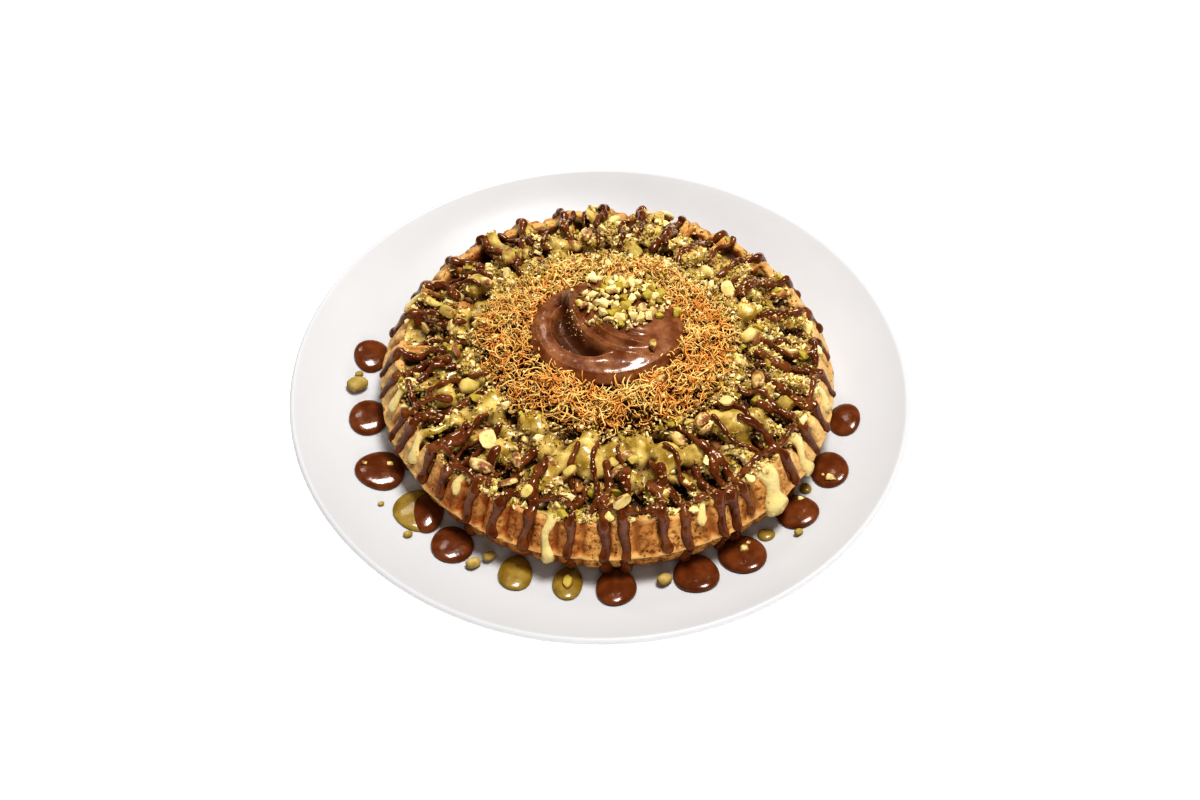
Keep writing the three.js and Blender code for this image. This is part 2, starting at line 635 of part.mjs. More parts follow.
// Height of the swirl's surface at a place given from its middle
function swirlTop(x, y) {
  const share = Math.min(1, Math.hypot(x / SWIRL_HALF_LENGTH, y / SWIRL_HALF_WIDTH));
  const edge = Math.sqrt(1 - share ** 6);
  const fromRidge = Math.hypot(x - RIDGE_X, y - RIDGE_Y) - RIDGE_RADIUS;
  const degrees = (THREE.MathUtils.radToDeg(Math.atan2(y - RIDGE_Y, x - RIDGE_X)) + 360) % 360;
  const along = (degrees - RIDGE_START) / (RIDGE_END - RIDGE_START);
  const intoValley = VALLEY_RADIUS - Math.hypot(x - VALLEY_X, y - VALLEY_Y);
  let height = SWIRL_THICKNESS * edge;
  height -= VALLEY_DEPTH * smooth(0, 5, fromRidge) * smooth(0, 4, intoValley);
  const onRidge = smooth(-0.12, 0.04, along) * (1 - smooth(0.85, 1.15, along));
  const peakRise = SWIRL_PEAK - SWIRL_BASE - SWIRL_THICKNESS;
  const rise = RIDGE_LOW_RISE + (peakRise - RIDGE_LOW_RISE) * Math.max(0, 1 - along / 0.55) ** 1.6;
  height += rise * onRidge * Math.exp(-((fromRidge / RIDGE_WIDTH) ** 2));
  const second = (fromRidge + RIDGE_RADIUS - SECOND_RIDGE_RADIUS) / SECOND_RIDGE_WIDTH;
  height += SECOND_RIDGE_RISE * onRidge * Math.exp(-(second ** 2));
  height += BAND_RISE * edge * Math.exp(-(((share - BAND_SHARE) / 0.09) ** 2));
  return SWIRL_BASE + Math.max(0.6, height);
}

// Chopped pistachios heaped on the back of the swirl, largest in the middle
function heapPiece(number) {
  const around = 2.4 * number;
  const away = Math.sqrt((number + 0.5) / HEAP_PIECES);
  const x = HEAP_X + HEAP_HALF_LENGTH * away * Math.cos(around);
  const y = HEAP_Y + HEAP_HALF_WIDTH * away * Math.sin(around);
  const size = HEAP_LARGEST - 1.6 * away - chance(number + 600);
  const body = chip(size, 7 * number + 700);
  body.rotateZ(2 * Math.PI * chance(number + 650));
  body.translate(x + SWIRL_X, y + SWIRL_Y, swirlTop(x, y) + HEAP_RISE * (1 - 0.67 * away * away));
  return body;
}

function swirl() {
  const shares = [0.16, 0.3, 0.42, 0.54, 0.66, 0.77, 0.86, 0.93, 0.98];
  const profile = [[0, 0], [0.94, 0], [1, 1]];
  for (const share of [...shares].reverse()) profile.push([share, 2]);
  profile.push([0, 2]);
  const disc = weld(turned(profile, SWIRL_SEGMENTS));
  shaped(disc, (point) => {
    const [x, y] = [point.x * SWIRL_HALF_LENGTH, point.y * SWIRL_HALF_WIDTH];
    const levels = [SWIRL_BASE, SWIRL_BASE + 1.8, swirlTop(x, y)];
    point.set(x + SWIRL_X, y + SWIRL_Y, levels[Math.round(point.z)]);
  });
  const pieces = Array.from({ length: HEAP_PIECES }, (_, i) => heapPiece(i));
  return fused(disc, pieces);
}

// Drops on the plate

function fromWaffle(degrees, distance) {
  const angle = turnOf(degrees);
  return [WAFFLE_X + distance * Math.cos(angle), WAFFLE_Y + distance * Math.sin(angle)];
}

// A drop that lies on the plate: its underside follows the plate, its top is a low dome
function dropShape(x, y, halfLength, halfWidth, height) {
  const profile = [[0, 0], [0.94, 0], [1, 0.35], [0.8, 0.82], [0, 1]];
  const drop = weld(turned(profile, DROP_SEGMENTS));
  return shaped(drop, (point) => {
    point.x = x + halfLength * point.x;
    point.y = y + halfWidth * point.y;
    point.z = plateTop(Math.hypot(point.x, point.y)) + DROP_OFF_PLATE + height * point.z;
  });
}

function waffleKeepOut() {
  const body = turned([[0, 0], [WAFFLE_CLEARANCE_RADIUS, 0], [WAFFLE_CLEARANCE_RADIUS, 12], [0, 12]], 112);
  body.translate(WAFFLE_X, WAFFLE_Y, 0);
  return asSolid(body);
}

// An upright oval column for splitting a drop in two
function column(x, y, halfLength, halfWidth) {
  const body = turned([[0, 0], [1, 0], [1, 20], [0, 20]], DROP_SEGMENTS * 2);
  body.scale(halfLength, halfWidth, 1);
  body.translate(x, y, 0);
  return asSolid(body);
}

function drops() {
  const keepOut = waffleKeepOut();
  const meshes = [];
  const add = (name, solid, finish) => meshes.push(named(name, asGeometry(solid), finish));
  for (const [name, degrees, distance, halfLength, halfWidth, height] of DROPS) {
    const [x, y] = fromWaffle(degrees, distance);
    let solid = asSolid(dropShape(x, y, halfLength, halfWidth, height)).subtract(keepOut);
    if (name === CRESCENT_OF) {
      const [shiftX, shiftY] = CRESCENT_SHIFT;
      const wide = column(x + shiftX, y + shiftY, halfLength + GAP, halfWidth + GAP);
      add(CRESCENT_NAME, solid.subtract(wide), pistachioCream);
      solid = solid.intersect(column(x + shiftX, y + shiftY, halfLength, halfWidth));
    }
    const onTop = plateTop(Math.hypot(x, y)) + DROP_OFF_PLATE + height;
    if (name === KERNEL_DROP) {
      const [nutLength, nutWidth, nutHeight, nutDegrees] = KERNEL_IN_DROP;
      const nut = kernelShape(nutLength, nutWidth, nutHeight, 8, 5);
      nut.rotateZ(turnOf(nutDegrees));
      nut.translate(x, y - 0.6, onTop);
      solid = solid.add(asSolid(nut));
    }
    if (CRUMB_DROPS.includes(name)) {
      const crumb = chip(CRUMB_SIZE, name.length + 40);
      crumb.translate(x + 1, y - 1, onTop + 0.5);
      solid = solid.add(asSolid(crumb));
    }
    add(name, solid, name.startsWith('cream') ? pistachioCream : chocolate);
  }
  return meshes;
}

// Pistachio pieces on the plate

function plateNuts() {
  return PLATE_NUTS.map(([name, x, y, length, width, height, degrees]) => {
    const body = kernelShape(length, width, height, 6, 4);
    body.rotateZ(turnOf(degrees));
    const reach = Math.hypot(x, y);
    body.translate(x, y, plateTop(reach + length / 3) + GAP + height / 2);
    return named(name, weld(body), kernel);
  });
}

// The whole

function named(name, geometry, finish) {
  const mesh = new THREE.Mesh(geometry, finish);
  mesh.name = name;
  return mesh;
}

const part = new THREE.Group();
part.add(named('plate', plate(), porcelain));
part.add(named('waffle', waffle(), bakedBatter));
part.add(named('pistachio_cream', cream(), pistachioCream));
part.add(named('kataifi_nest', nest(), shreddedPastry));
part.add(named('chocolate_swirl', swirl(), chocolate));
part.add(...drops());
part.add(...plateNuts());

export default part;
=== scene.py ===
# %% [markdown]
# # A round waffle with pistachio cream, shredded pastry and a swirl of chocolate
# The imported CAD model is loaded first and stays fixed. Each piece is then built in the same
# frame and to the sizes of its solid, so it can take the solid's place. Lengths are
# millimetres, which suit food, and MM turns them into Blender's metres when a mesh is made.

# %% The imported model
import math

import bmesh
import bpy
import numpy as np
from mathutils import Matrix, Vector
from mathutils.bvhtree import BVHTree


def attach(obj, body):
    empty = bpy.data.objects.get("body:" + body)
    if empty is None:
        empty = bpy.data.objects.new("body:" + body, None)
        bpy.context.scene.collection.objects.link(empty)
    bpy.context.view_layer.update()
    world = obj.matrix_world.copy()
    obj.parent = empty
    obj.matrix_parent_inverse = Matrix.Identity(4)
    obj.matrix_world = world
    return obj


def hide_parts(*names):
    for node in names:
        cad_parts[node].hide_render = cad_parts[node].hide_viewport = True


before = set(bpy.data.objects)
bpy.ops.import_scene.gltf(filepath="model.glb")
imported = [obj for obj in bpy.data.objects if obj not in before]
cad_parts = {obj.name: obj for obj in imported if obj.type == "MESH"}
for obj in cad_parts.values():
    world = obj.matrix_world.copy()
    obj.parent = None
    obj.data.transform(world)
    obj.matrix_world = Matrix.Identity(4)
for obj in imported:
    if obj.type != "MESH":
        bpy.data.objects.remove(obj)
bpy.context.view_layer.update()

MM = 0.001

# %% [markdown]
# ## Sizes and places
# The first lines hold the solids' own sizes. The tables hold what the eye would miss if it
# moved: the drips at the front, the lumps and hollows of the cream, and the streams that run
# over the edge. Angles are in degrees about the waffle's middle, 0 to the right and -90 to the
# front.

# %% Sizes and places
GAP = 0.3
PLATE_FLOOR, PLATE_RIM, PLATE_FLAT, LIP_MIDDLE = 4.5, 20.0, 99.5, 133.3
WAFFLE = np.array([3.3, 2.5])
BOTTOM, SEAM, TOP = 4.8, 18.0, 32.0
SIDE_FOOT, SIDE_WAIST, SIDE_SEAM, SIDE_TOP, RIM = 95.5, 97.5, 98, 91, 89.5
FLUTES, POCKETS = 56, 28
POCKET_STEP = 2 * np.pi / POCKETS
NEST_X, NEST_Y, NEST_TOP, NEST_FLAT = 57, 52, 45.0, 0.66
SWIRL, SWIRL_X, SWIRL_Y = np.array([2.9, 0.0]), 33.5, 29.5
SWIRL_BASE, SWIRL_BODY, SWIRL_PEAK = 45.3, 6, 57.5
RIDGE_X, RIDGE_Y, RIDGE_RADIUS, RIDGE_START, RIDGE_END = 14.5, 11.5, 30, 173, 272

# Angle, height of the end
FRONT_DRIPS = [
    (-179, 14.5), (-171.5, 11.5), (-157.8, 16), (-153.2, 7), (-142.2, 19), (-135.4, 19.5),
    (-126, 7), (-118.5, 17.5), (-110.2, 16.5), (-99.3, 9), (-90.8, 7), (-86, 7), (-76.2, 18.5),
    (-70.8, 7), (-61.4, 7), (-57.6, 9), (-53.4, 21), (-37.8, 7), (-27.3, 8), (-19.2, 17),
    (-7.7, 14),
]
# x, y, half sizes, rise
LUMPS = [
    (-6.9, -57, 9, 8, 5), (-33.4, -26.9, 6, 5, 2.5), (16.2, -53.4, 6, 5, 3.5),
    (55.5, -41.4, 8, 8, 6), (40.5, -56.2, 6, 5, 3.5), (67, -24.4, 5, 9, 3.5),
    (-64.5, -26.3, 5, 6, 3.5), (-18.3, 63.6, 6, 5, 3), (-4.6, 66, 6, 4, 3), (11.4, 63.6, 6, 5, 3),
    (-55, 40, 6, 6, 3), (-22, -66, 7, 5, 3), (-40, -54, 7, 5, 2.5), (28, -60, 6, 5, 3.5),
    (64, 22, 6, 6, 3), (40, 54, 7, 5, 3), (-62, 14, 5, 7, 3),
]
# Angle, half width, height of the end
TONGUES = [
    (-45.6, 5, 12.5), (-32.4, 2.8, 13), (-104.7, 2.3, 12), (-66, 1.9, 24), (-130.6, 1.9, 25),
    (-148, 2.4, 20), (-164.8, 2.6, 22), (-13.5, 2.6, 19), (29.2, 2.8, 24), (73, 3, 25),
    (94.6, 2.6, 26), (127.4, 3, 23), (160, 2.6, 22),
]
# Lobes of cream between the lumps at the front: x, y, radius
LOBES = [
    (-21, -53, 7.5), (-13, -60, 7), (-3.5, -62, 7.5), (5.5, -55.5, 7), (16, -57, 6.5),
    (27, -56.5, 7.5), (37.5, -56.5, 7), (48, -40, 8), (55.5, -45.5, 7.5), (-27, -40, 7.5),
    (-44.5, -30, 7.5), (64, -37, 6), (66, -20.5, 6), (-66, -27, 6), (23, -66, 5), (11.5, -69, 4.5),
    (-20.5, -72, 5), (45.5, -61, 5.5),
]
# Dark hollows beside the lumps: x, y, radius, depth
HOLLOWS = [
    (-33.5, -36, 5, 7), (-12, -66.5, 6, 9), (10.5, -56.5, 3.5, 9), (24.5, -51.5, 4, 9),
    (35, -62, 5, 9), (61, -50, 4, 8), (-59, -18, 4.5, 7), (2, -68.5, 5, 8), (-52, 7, 4, 5),
    (48, -52, 4, 7), (-46, -45, 4.5, 6), (58, 8, 4, 5), (30, 58, 4, 6), (-28, 60, 4, 6),
    (-60, 30, 4, 5),
]

# %% [markdown]
# ## Small functions that give food its unevenness
# Nothing baked or poured is regular, yet the script has to give the same result each time. So
# chance is a hash of a number and not a dice throw, and noise blends such numbers over a grid
# of cells.

# %% Small functions
def chance(n):
    """A repeatable number from 0 to 1 for each whole number."""
    value = np.sin(np.asarray(n, float) * 12.9898) * 43758.5453
    return value - np.floor(value)


def smooth(low, high, value):
    """0 below low, 1 above high, and a soft step between."""
    t = np.clip((value - low) / (high - low), 0, 1)
    return t * t * (3 - 2 * t)


def noise(x, y, z, size, seed=0, octaves=3):
    """Soft noise about 0, from -1 to 1, with features of a size in millimetres."""
    total, share = 0.0, 0.5
    for octave in range(octaves):
        px, py, pz = (np.asarray(c, float) * 2**octave / size for c in (x, y, z))
        px, py, pz = np.broadcast_arrays(px, py, pz)
        cell = [np.floor(p) for p in (px, py, pz)]
        part = [smooth(0, 1, p - c) for p, c in zip((px, py, pz), cell)]
        value = 0.0
        for corner in range(8):
            bits = (corner & 1, corner >> 1 & 1, corner >> 2)
            mixed = sum((c + b) * k for c, b, k in zip(cell, bits, (127.1, 311.7, 74.7)))
            weight = 1.0
            for p, b in zip(part, bits):
                weight = weight * (p if b else 1 - p)
            value = value + weight * chance(mixed + 57.3 * (seed + octave))
        total = total + share * (2 * value - 1)
        share *= 0.5
    return total


def bell(value, width):
    """1 at 0, falling softly on both sides."""
    return np.exp(-((value / width) ** 2))


def crest(value, width):
    """1 at 0, falling from a sharp edge."""
    return np.exp(-np.abs(value) / width)


def mound(x, y, middle_x, middle_y, half_x, half_y):
    """1 at the middle of a soft mound, falling to 0 around it."""
    return np.exp(-(((x - middle_x) / half_x) ** 2 + ((y - middle_y) / half_y) ** 2))


def dent(x, y, middle_x, middle_y, size):
    """Like a mound, with a flatter middle and a steeper side."""
    return np.exp(-((((x - middle_x) ** 2 + (y - middle_y) ** 2) / size**2) ** 1.5))


def polar(x, y):
    """Distance and angle from the waffle's middle."""
    x, y = x - WAFFLE[0], y - WAFFLE[1]
    return np.hypot(x, y), np.arctan2(y, x)


def lengths(path):
    """How far each point of a path lies from its start."""
    return np.concatenate([[0], np.cumsum(np.hypot(*np.diff(path, axis=0).T))])


# %% [markdown]
# ## Mesh helpers
# A shape is a pair: an array of corners and a list of faces. Almost every piece here is a stack
# of rings, as a potter would throw it, so circle, ring and capped are all that most shapes
# need.

# %% Shapes from rings
def circle(count):
    return 2 * np.pi * np.arange(count) / count


def ring(angle, radius, height):
    return np.stack(np.broadcast_arrays(radius * np.cos(angle), radius * np.sin(angle), height), 1)


def grid_faces(rows, columns, closed=True):
    """Quads between the rows of a grid. A closed grid joins its last column to its first."""
    last = columns if closed else columns - 1
    i, j = np.meshgrid(np.arange(rows - 1), np.arange(last), indexing="ij")
    k = (j + 1) % columns
    corners = [i * columns + j, i * columns + k, (i + 1) * columns + k, (i + 1) * columns + j]
    return [list(f) for f in np.stack(corners, -1).reshape(-1, 4)]


def capped(rings):
    """Rings as one closed shape, with a face over the first ring and over the last."""
    count = len(rings[0])
    last = (len(rings) - 1) * count
    caps = [list(range(count))[::-1], [last + j for j in range(count)]]
    return np.concatenate(rings), grid_faces(len(rings), count) + caps


def joined(shapes):
    """Several shapes as one."""
    points, faces, start = [], [], 0
    for corners, found in shapes:
        points.append(corners)
        faces.extend([[int(v) + start for v in f] for f in found])
        start += len(corners)
    return np.concatenate(points), faces


def tube(points, radii, sides=8, rounded=True):
    """A closed tube along points, with round or blunt ends."""
    points, radii = np.asarray(points, float), np.asarray(radii, float)
    if rounded:
        start, end = points[0] - points[1], points[-1] - points[-2]
        start, end = start / np.linalg.norm(start), end / np.linalg.norm(end)
        turns = np.radians([85, 55, 25])
        points = np.concatenate([
            [points[0] + start * radii[0] * math.sin(t) for t in turns], points,
            [points[-1] + end * radii[-1] * math.sin(t) for t in turns[::-1]],
        ])
        radii = np.concatenate([radii[0] * np.cos(turns), radii, radii[-1] * np.cos(turns[::-1])])
    along = np.gradient(points, axis=0)
    along /= np.linalg.norm(along, axis=1)[:, None]
    side = np.cross(along[0], [0.31, 0.2, 0.93])
    around, rings = circle(sides), []
    for place, radius, ahead in zip(points, radii, along):
        side = side - ahead * (side @ ahead)
        side /= np.linalg.norm(side)
        other = np.cross(ahead, side)
        spread = np.outer(np.cos(around), side) + np.outer(np.sin(around), other)
        rings.append(place + radius * spread)
    return capped(rings)


def ball(middle, halves, rows=12, columns=16, bulge=0.0, seed=0):
    """A closed egg or pebble. bulge makes it uneven."""
    up = np.pi * (np.arange(1, rows) / rows)
    around = circle(columns)
    x = np.outer(np.sin(up), np.cos(around)).ravel()
    y = np.outer(np.sin(up), np.sin(around)).ravel()
    z = np.repeat(np.cos(up), columns)
    points = np.concatenate([np.stack([x, y, z], 1), [[0, 0, 1], [0, 0, -1]]])
    if bulge:
        points *= (1 + bulge * noise(*points.T * 10 + seed, 9, seed, 2))[:, None]
    faces = [f[::-1] for f in grid_faces(rows - 1, columns)]
    top, low = len(points) - 2, len(points) - 1
    last = (rows - 2) * columns
    for j in range(columns):
        k = (j + 1) % columns
        faces.append([top, j, k])
        faces.append([low, last + k, last + j])
    return points * np.asarray(halves) + np.asarray(middle), faces


# %% [markdown]
# ## From shapes to pieces
# store keeps a number at each corner, and materials and node trees read it by name. melted is
# how poured things are made here: overlapping tubes and balls are run together into one skin
# with a voxel Remesh, then relaxed. finished hands each piece to the frame.

# %% Pieces
def store(mesh, key, values):
    if key in mesh.attributes:
        mesh.attributes.remove(mesh.attributes[key])
    layer = mesh.attributes.new(key, "FLOAT", "POINT")
    layer.data.foreach_set("value", np.broadcast_to(values, len(layer.data)).astype(np.float32))


def mesh_object(name, points, faces, **attributes):
    mesh = bpy.data.meshes.new(name)
    mesh.from_pydata((points * MM).tolist(), [], [list(map(int, f)) for f in faces])
    mesh.shade_smooth()
    for key, values in attributes.items():
        store(mesh, key, values)
    mesh.validate()
    piece = bpy.data.objects.new(name, mesh)
    bpy.context.scene.collection.objects.link(piece)
    return piece


def applied(piece):
    """The piece with its modifiers made part of its mesh."""
    bpy.context.view_layer.update()
    seen = piece.evaluated_get(bpy.context.evaluated_depsgraph_get())
    mesh = bpy.data.meshes.new_from_object(seen)
    piece.modifiers.clear()
    old = piece.data
    piece.data = mesh
    bpy.data.meshes.remove(old)
    mesh.name = piece.name
    return piece


def melted(piece, voxel, rounds=4):
    remesh = piece.modifiers.new("melt", "REMESH")
    remesh.mode, remesh.voxel_size, remesh.use_smooth_shade = "VOXEL", voxel * MM, True
    relax = piece.modifiers.new("relax", "SMOOTH")
    relax.factor, relax.iterations = 0.5, rounds
    return applied(piece)


def corners_of(piece):
    found = np.empty(len(piece.data.vertices) * 3, np.float32)
    piece.data.vertices.foreach_get("co", found)
    return found.reshape(-1, 3).astype(float) / MM


def without(piece, gone):
    """Drops the corners of a piece for which gone is true, with their faces."""
    shape = bmesh.new()
    shape.from_mesh(piece.data)
    corners = [v for v, g in zip(shape.verts, gone) if g]
    bmesh.ops.delete(shape, geom=corners, context="VERTS")
    shape.to_mesh(piece.data)
    shape.free()
    return piece


def finished(piece, material, slot, *nodes):
    """Gives a piece its material, body and the CAD nodes that it stands for. The slot is not used.
    """
    if material is not None:
        piece.data.materials.clear()
        piece.data.materials.append(material)
    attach(piece, "root")
    if nodes:
        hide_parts(*nodes)
    print(piece.name, sum(len(q.vertices) - 2 for q in piece.data.polygons), "triangles")
    return piece


# %% [markdown]
# ## Asking for heights
# Drizzle, crumbs and kernels have to rest on whatever is below them. Ground answers with a ray
# from above. Field holds the same heights on a grid, evened out, and shaded compares a piece
# with it. What lies below the field is darkened in its material with painted shade, as the
# narrow gaps of a real topping fall into shade.

# %% Asking for heights
class Ground:
    """The tops of some pieces, asked for their height from above."""

    def __init__(self, *pieces):
        shapes = [(corners_of(p), [q.vertices for q in p.data.polygons]) for p in pieces]
        points, faces = joined(shapes)
        self.tree = BVHTree.FromPolygons([tuple(p) for p in points], faces)

    def height(self, x, y, missing=PLATE_FLOOR):
        hit = self.tree.ray_cast((x, y, 120), (0, 0, -1))[0]
        return missing if hit is None else hit.z


class Field:
    """The tops of some pieces on a grid, evened out over spread millimetres."""

    STEP, REACH, EDGE = 1.5, 7, 103.5

    def __init__(self, spread, *pieces):
        ground, axis = Ground(*pieces), np.arange(-self.EDGE, self.EDGE + 0.5, self.STEP)
        heights = np.array([[ground.height(x, y) for x in axis] for y in axis])
        weight = bell(np.arange(-self.REACH, self.REACH + 1) * self.STEP, spread)
        for _ in range(2):
            wide = np.pad(heights, ((0, 0), (self.REACH, self.REACH)), "edge")
            heights = np.apply_along_axis(np.convolve, 1, wide, weight / weight.sum(), "valid").T
        self.heights = heights

    def at(self, x, y):
        column, row = ((np.clip(c, -103, 103) + self.EDGE) / self.STEP for c in (x, y))
        i, j = row.astype(int), column.astype(int)
        p, q, h = row - i, column - j, self.heights
        return ((1 - p) * ((1 - q) * h[i, j] + q * h[i, j + 1])
                + p * ((1 - q) * h[i + 1, j] + q * h[i + 1, j + 1]))


def shaded(piece, key, field, low, high, within=None):
    """Stores painted shade for each corner from its height over the field: 1 at low above the field
    or less, 0 at high.
    """
    x, y, z = corners_of(piece).T
    deep = 1 - smooth(low, high, z - field.at(x, y))
    if within is not None:
        deep = deep * within(x, y, z)
    store(piece.data, key, deep)


# %% [markdown]
# ## Shader maths
# A Signal wraps a node's output, so that a sum of Signals reads like the sum it works out. It
# serves the scattering's tree too. A Finish is one material. Its noise and spots have sizes in
# millimetres, because they read Object coordinates, and its colours are laid over each other in
# layers.

# %% Shader maths
def plug(tree, socket, value):
    """Links an output to a socket, or sets a plain value."""
    if isinstance(value, Signal):
        value = value.socket
    if isinstance(value, bpy.types.NodeSocket):
        tree.links.new(value, socket)
    else:
        socket.default_value = (*value, 1.0) if socket.type == "RGBA" else value


def add_node(tree, kind, settings=(), inputs=()):
    """A node of a kind: its settings first, then its sockets. Gives its outputs."""
    made = tree.nodes.new(kind)
    for key, value in dict(settings).items():
        setattr(made, key, value)
    for key, value in dict(inputs).items():
        plug(tree, made.inputs[key], value)
    return made.outputs


class Signal:
    """A node's output that adds and multiplies like a number."""

    def __init__(self, tree, socket):
        self.tree, self.socket = tree, socket

    def math(self, operation, *values):
        found = add_node(self.tree, "ShaderNodeMath", {"operation": operation}, enumerate(values))
        return Signal(self.tree, found[0])

    def __add__(self, other):
        return self.math("ADD", self, other)

    def __mul__(self, other):
        return self.math("MULTIPLY", self, other)

    def __rsub__(self, other):
        return self.math("SUBTRACT", other, self)

    __radd__, __rmul__ = __add__, __mul__

    def between(self, low, high):
        """0 below low, 1 above high, smooth between."""
        found = add_node(self.tree, "ShaderNodeMapRange", {"interpolation_type": "SMOOTHSTEP"},
                         enumerate((self, low, high, 0.0, 1.0)))
        return Signal(self.tree, found[0])


def rgb(red, green, blue):
    """A colour given as it looks on a screen, 0 to 255, as linear light."""
    shares = np.array([red, green, blue]) / 255
    return tuple(np.where(shares > 0.04, ((shares + 0.055) / 1.055) ** 2.4, shares / 12.92))


class Finish:
    """A material whose surface is worked out from the piece's own coordinates."""

    def __init__(self, name, uniform):
        self.material = bpy.data.materials.new(name)
        self.material.use_nodes = True
        self.tree = self.material.node_tree
        self.sockets = self.tree.nodes["Principled BSDF"].inputs
        self.fill(uniform)
        self.place = self.node("ShaderNodeTexCoord", "Object")

    def fill(self, values):
        for key, value in values.items():
            plug(self.tree, self.sockets[key], value)

    def node(self, kind, output=0, settings=(), inputs=()):
        return Signal(self.tree, add_node(self.tree, kind, settings, inputs)[output])

    def noise(self, size, detail=3.0, roughness=0.55, where=None):
        """Noise from 0 to 1 with features of a size in millimetres."""
        return self.node("ShaderNodeTexNoise", "Fac", (), {
            "Vector": where or self.place, "Scale": 1 / (size * MM), "Detail": detail,
            "Roughness": roughness})

    def scaled(self, factors):
        """The coordinates, squeezed or stretched along each axis."""
        return self.node("ShaderNodeVectorMath", 0, {"operation": "MULTIPLY"},
                         {0: self.place, 1: factors})

    def spots(self, size, low, high):
        """1 in the middle of scattered spots, 0 between them."""
        away = self.node("ShaderNodeTexVoronoi", "Distance", (),
                         {"Vector": self.place, "Scale": 1 / (size * MM)})
        return 1 - away.between(low, high)

    def attribute(self, name):
        return self.node("ShaderNodeAttribute", "Fac", {"attribute_name": name})

    def mix(self, share, first, second):
        return self.node("ShaderNodeMix", 2, {"data_type": "RGBA", "clamp_factor": True},
                         {0: share, 6: first, 7: second})

    def layers(self, first, *others):
        """A screen colour with others laid over it, each as (how much of it, screen colour)."""
        colour = rgb(*first)
        for share, over in others:
            colour = self.mix(share, colour, rgb(*over))
        return colour

    def surface(self, colour, roughness, bumps=(), **more):
        """Links the colour, the roughness and bumps of (height, depth in millimetres)."""
        normal = {}
        for height, depth in bumps:
            inputs = {"Distance": depth * MM, "Height": height, **normal}
            normal = {"Normal": self.node("ShaderNodeBump", 0, (), inputs)}
        self.fill({"Base Color": colour, "Roughness": roughness, **normal, **more})
        return self.material

# %% [markdown]
# ## Porcelain, chocolate and cream
# Glossy food has a soft body under a thin shine, so chocolate and cream get a rougher base and
# a smooth coat. Gaps and hollows get painted shade, and where it lies on the cream the coat
# fades, or the gaps would glint. The two browns and the two creams are mixed by broad noise,
# because a poured sauce is never one even colour.

# %% Porcelain, chocolate and cream
glaze = Finish("porcelain", {
    "Specular IOR Level": 0.14, "Coat Weight": 0.06, "Coat Roughness": 0.2})
porcelain = glaze.surface(
    glaze.layers((192, 191, 191), (glaze.noise(38, 2), (197, 196, 196))),
    0.32 + 0.1 * glaze.noise(9, 3), [(glaze.noise(14, 2), 0.12), (glaze.noise(1.1, 2), 0.004)])


def chocolate_finish(name, dark, light, roughness):
    """Glossy chocolate between two browns. Painted shade, read from an attribute, darkens its
    hollows.
    """
    choc = Finish(name, {"Specular IOR Level": 0.3, "Coat Weight": 0.4, "Coat Roughness": 0.08})
    return choc.surface(
        choc.layers(dark, (choc.noise(7, 3).between(0.35, 0.7), light),
                    (choc.attribute("deep") * 0.85, (48, 18, 3))),
        roughness + 0.14 * choc.noise(3.5, 3),
        [(choc.noise(4.5, 2), 0.25), (choc.noise(0.7, 2), 0.02)])


chocolate = chocolate_finish("chocolate", (106, 60, 30), (144, 96, 62), 0.24)
chocolate_lines = chocolate_finish("chocolate_lines", (90, 44, 16), (124, 74, 38), 0.17)
chocolate_pool = chocolate_finish("chocolate_pool", (94, 48, 20), (116, 66, 34), 0.14)

cream = Finish("pistachio_cream", {
    "Specular IOR Level": 0.35, "Coat Roughness": 0.12, "Subsurface Weight": 0.06,
    "Subsurface Scale": 0.0012, "Subsurface Radius": (1.0, 0.8, 0.3)})
grain, mottle, deep = cream.noise(1.3, 3), cream.noise(7, 3), cream.attribute("deep")
specks = cream.spots(2.3, 0.12, 0.3) * cream.noise(6, 2).between(0.45, 0.6)
# The last layer is painted shade in the cream's gaps; the same mask raises the roughness and takes
# the coat away there.
pistachio_cream = cream.surface(
    cream.layers((144, 114, 36), (mottle.between(0.3, 0.7), (220, 192, 116)),
                 (cream.attribute("pale") * 0.7, (234, 214, 152)),
                 (specks * 0.55, (112, 80, 20)), (deep * 0.95, (56, 18, 1))),
    0.2 + 0.18 * grain + 0.5 * deep, [(cream.noise(3.2, 3), 0.5), (grain, 0.09)],
    **{"Coat Weight": 0.5 * (1 - deep.between(0.1, 0.6))})

pool = Finish("cream_pool", {
    "Specular IOR Level": 0.3, "Coat Weight": 0.35, "Coat Roughness": 0.08})
cream_pool = pool.surface(
    pool.layers((126, 100, 33), (pool.noise(6, 3).between(0.3, 0.7), (157, 132, 66))),
    0.2 + 0.1 * pool.noise(2, 2), [(pool.noise(4, 2), 0.2), (pool.noise(0.9, 2), 0.02)])

# %% [markdown]
# ## Baked batter
# A waffle browns in layers, and the colour is built the same way: pale dough, darker patches, a
# crust where it touched the iron, browning mixed with painted shade, pores and cracks, then
# painted shade in the gaps and a painted highlight on the seam, the flanks and the rim. Each
# layer is one mix.

# %% Baked batter
batter = Finish("baked_batter", {"Specular IOR Level": 0.28})
patch, fleck = batter.noise(11, 3), batter.noise(2.2, 4, 0.65)
crusty = batter.attribute("crust") * fleck.between(0.42, 0.68)
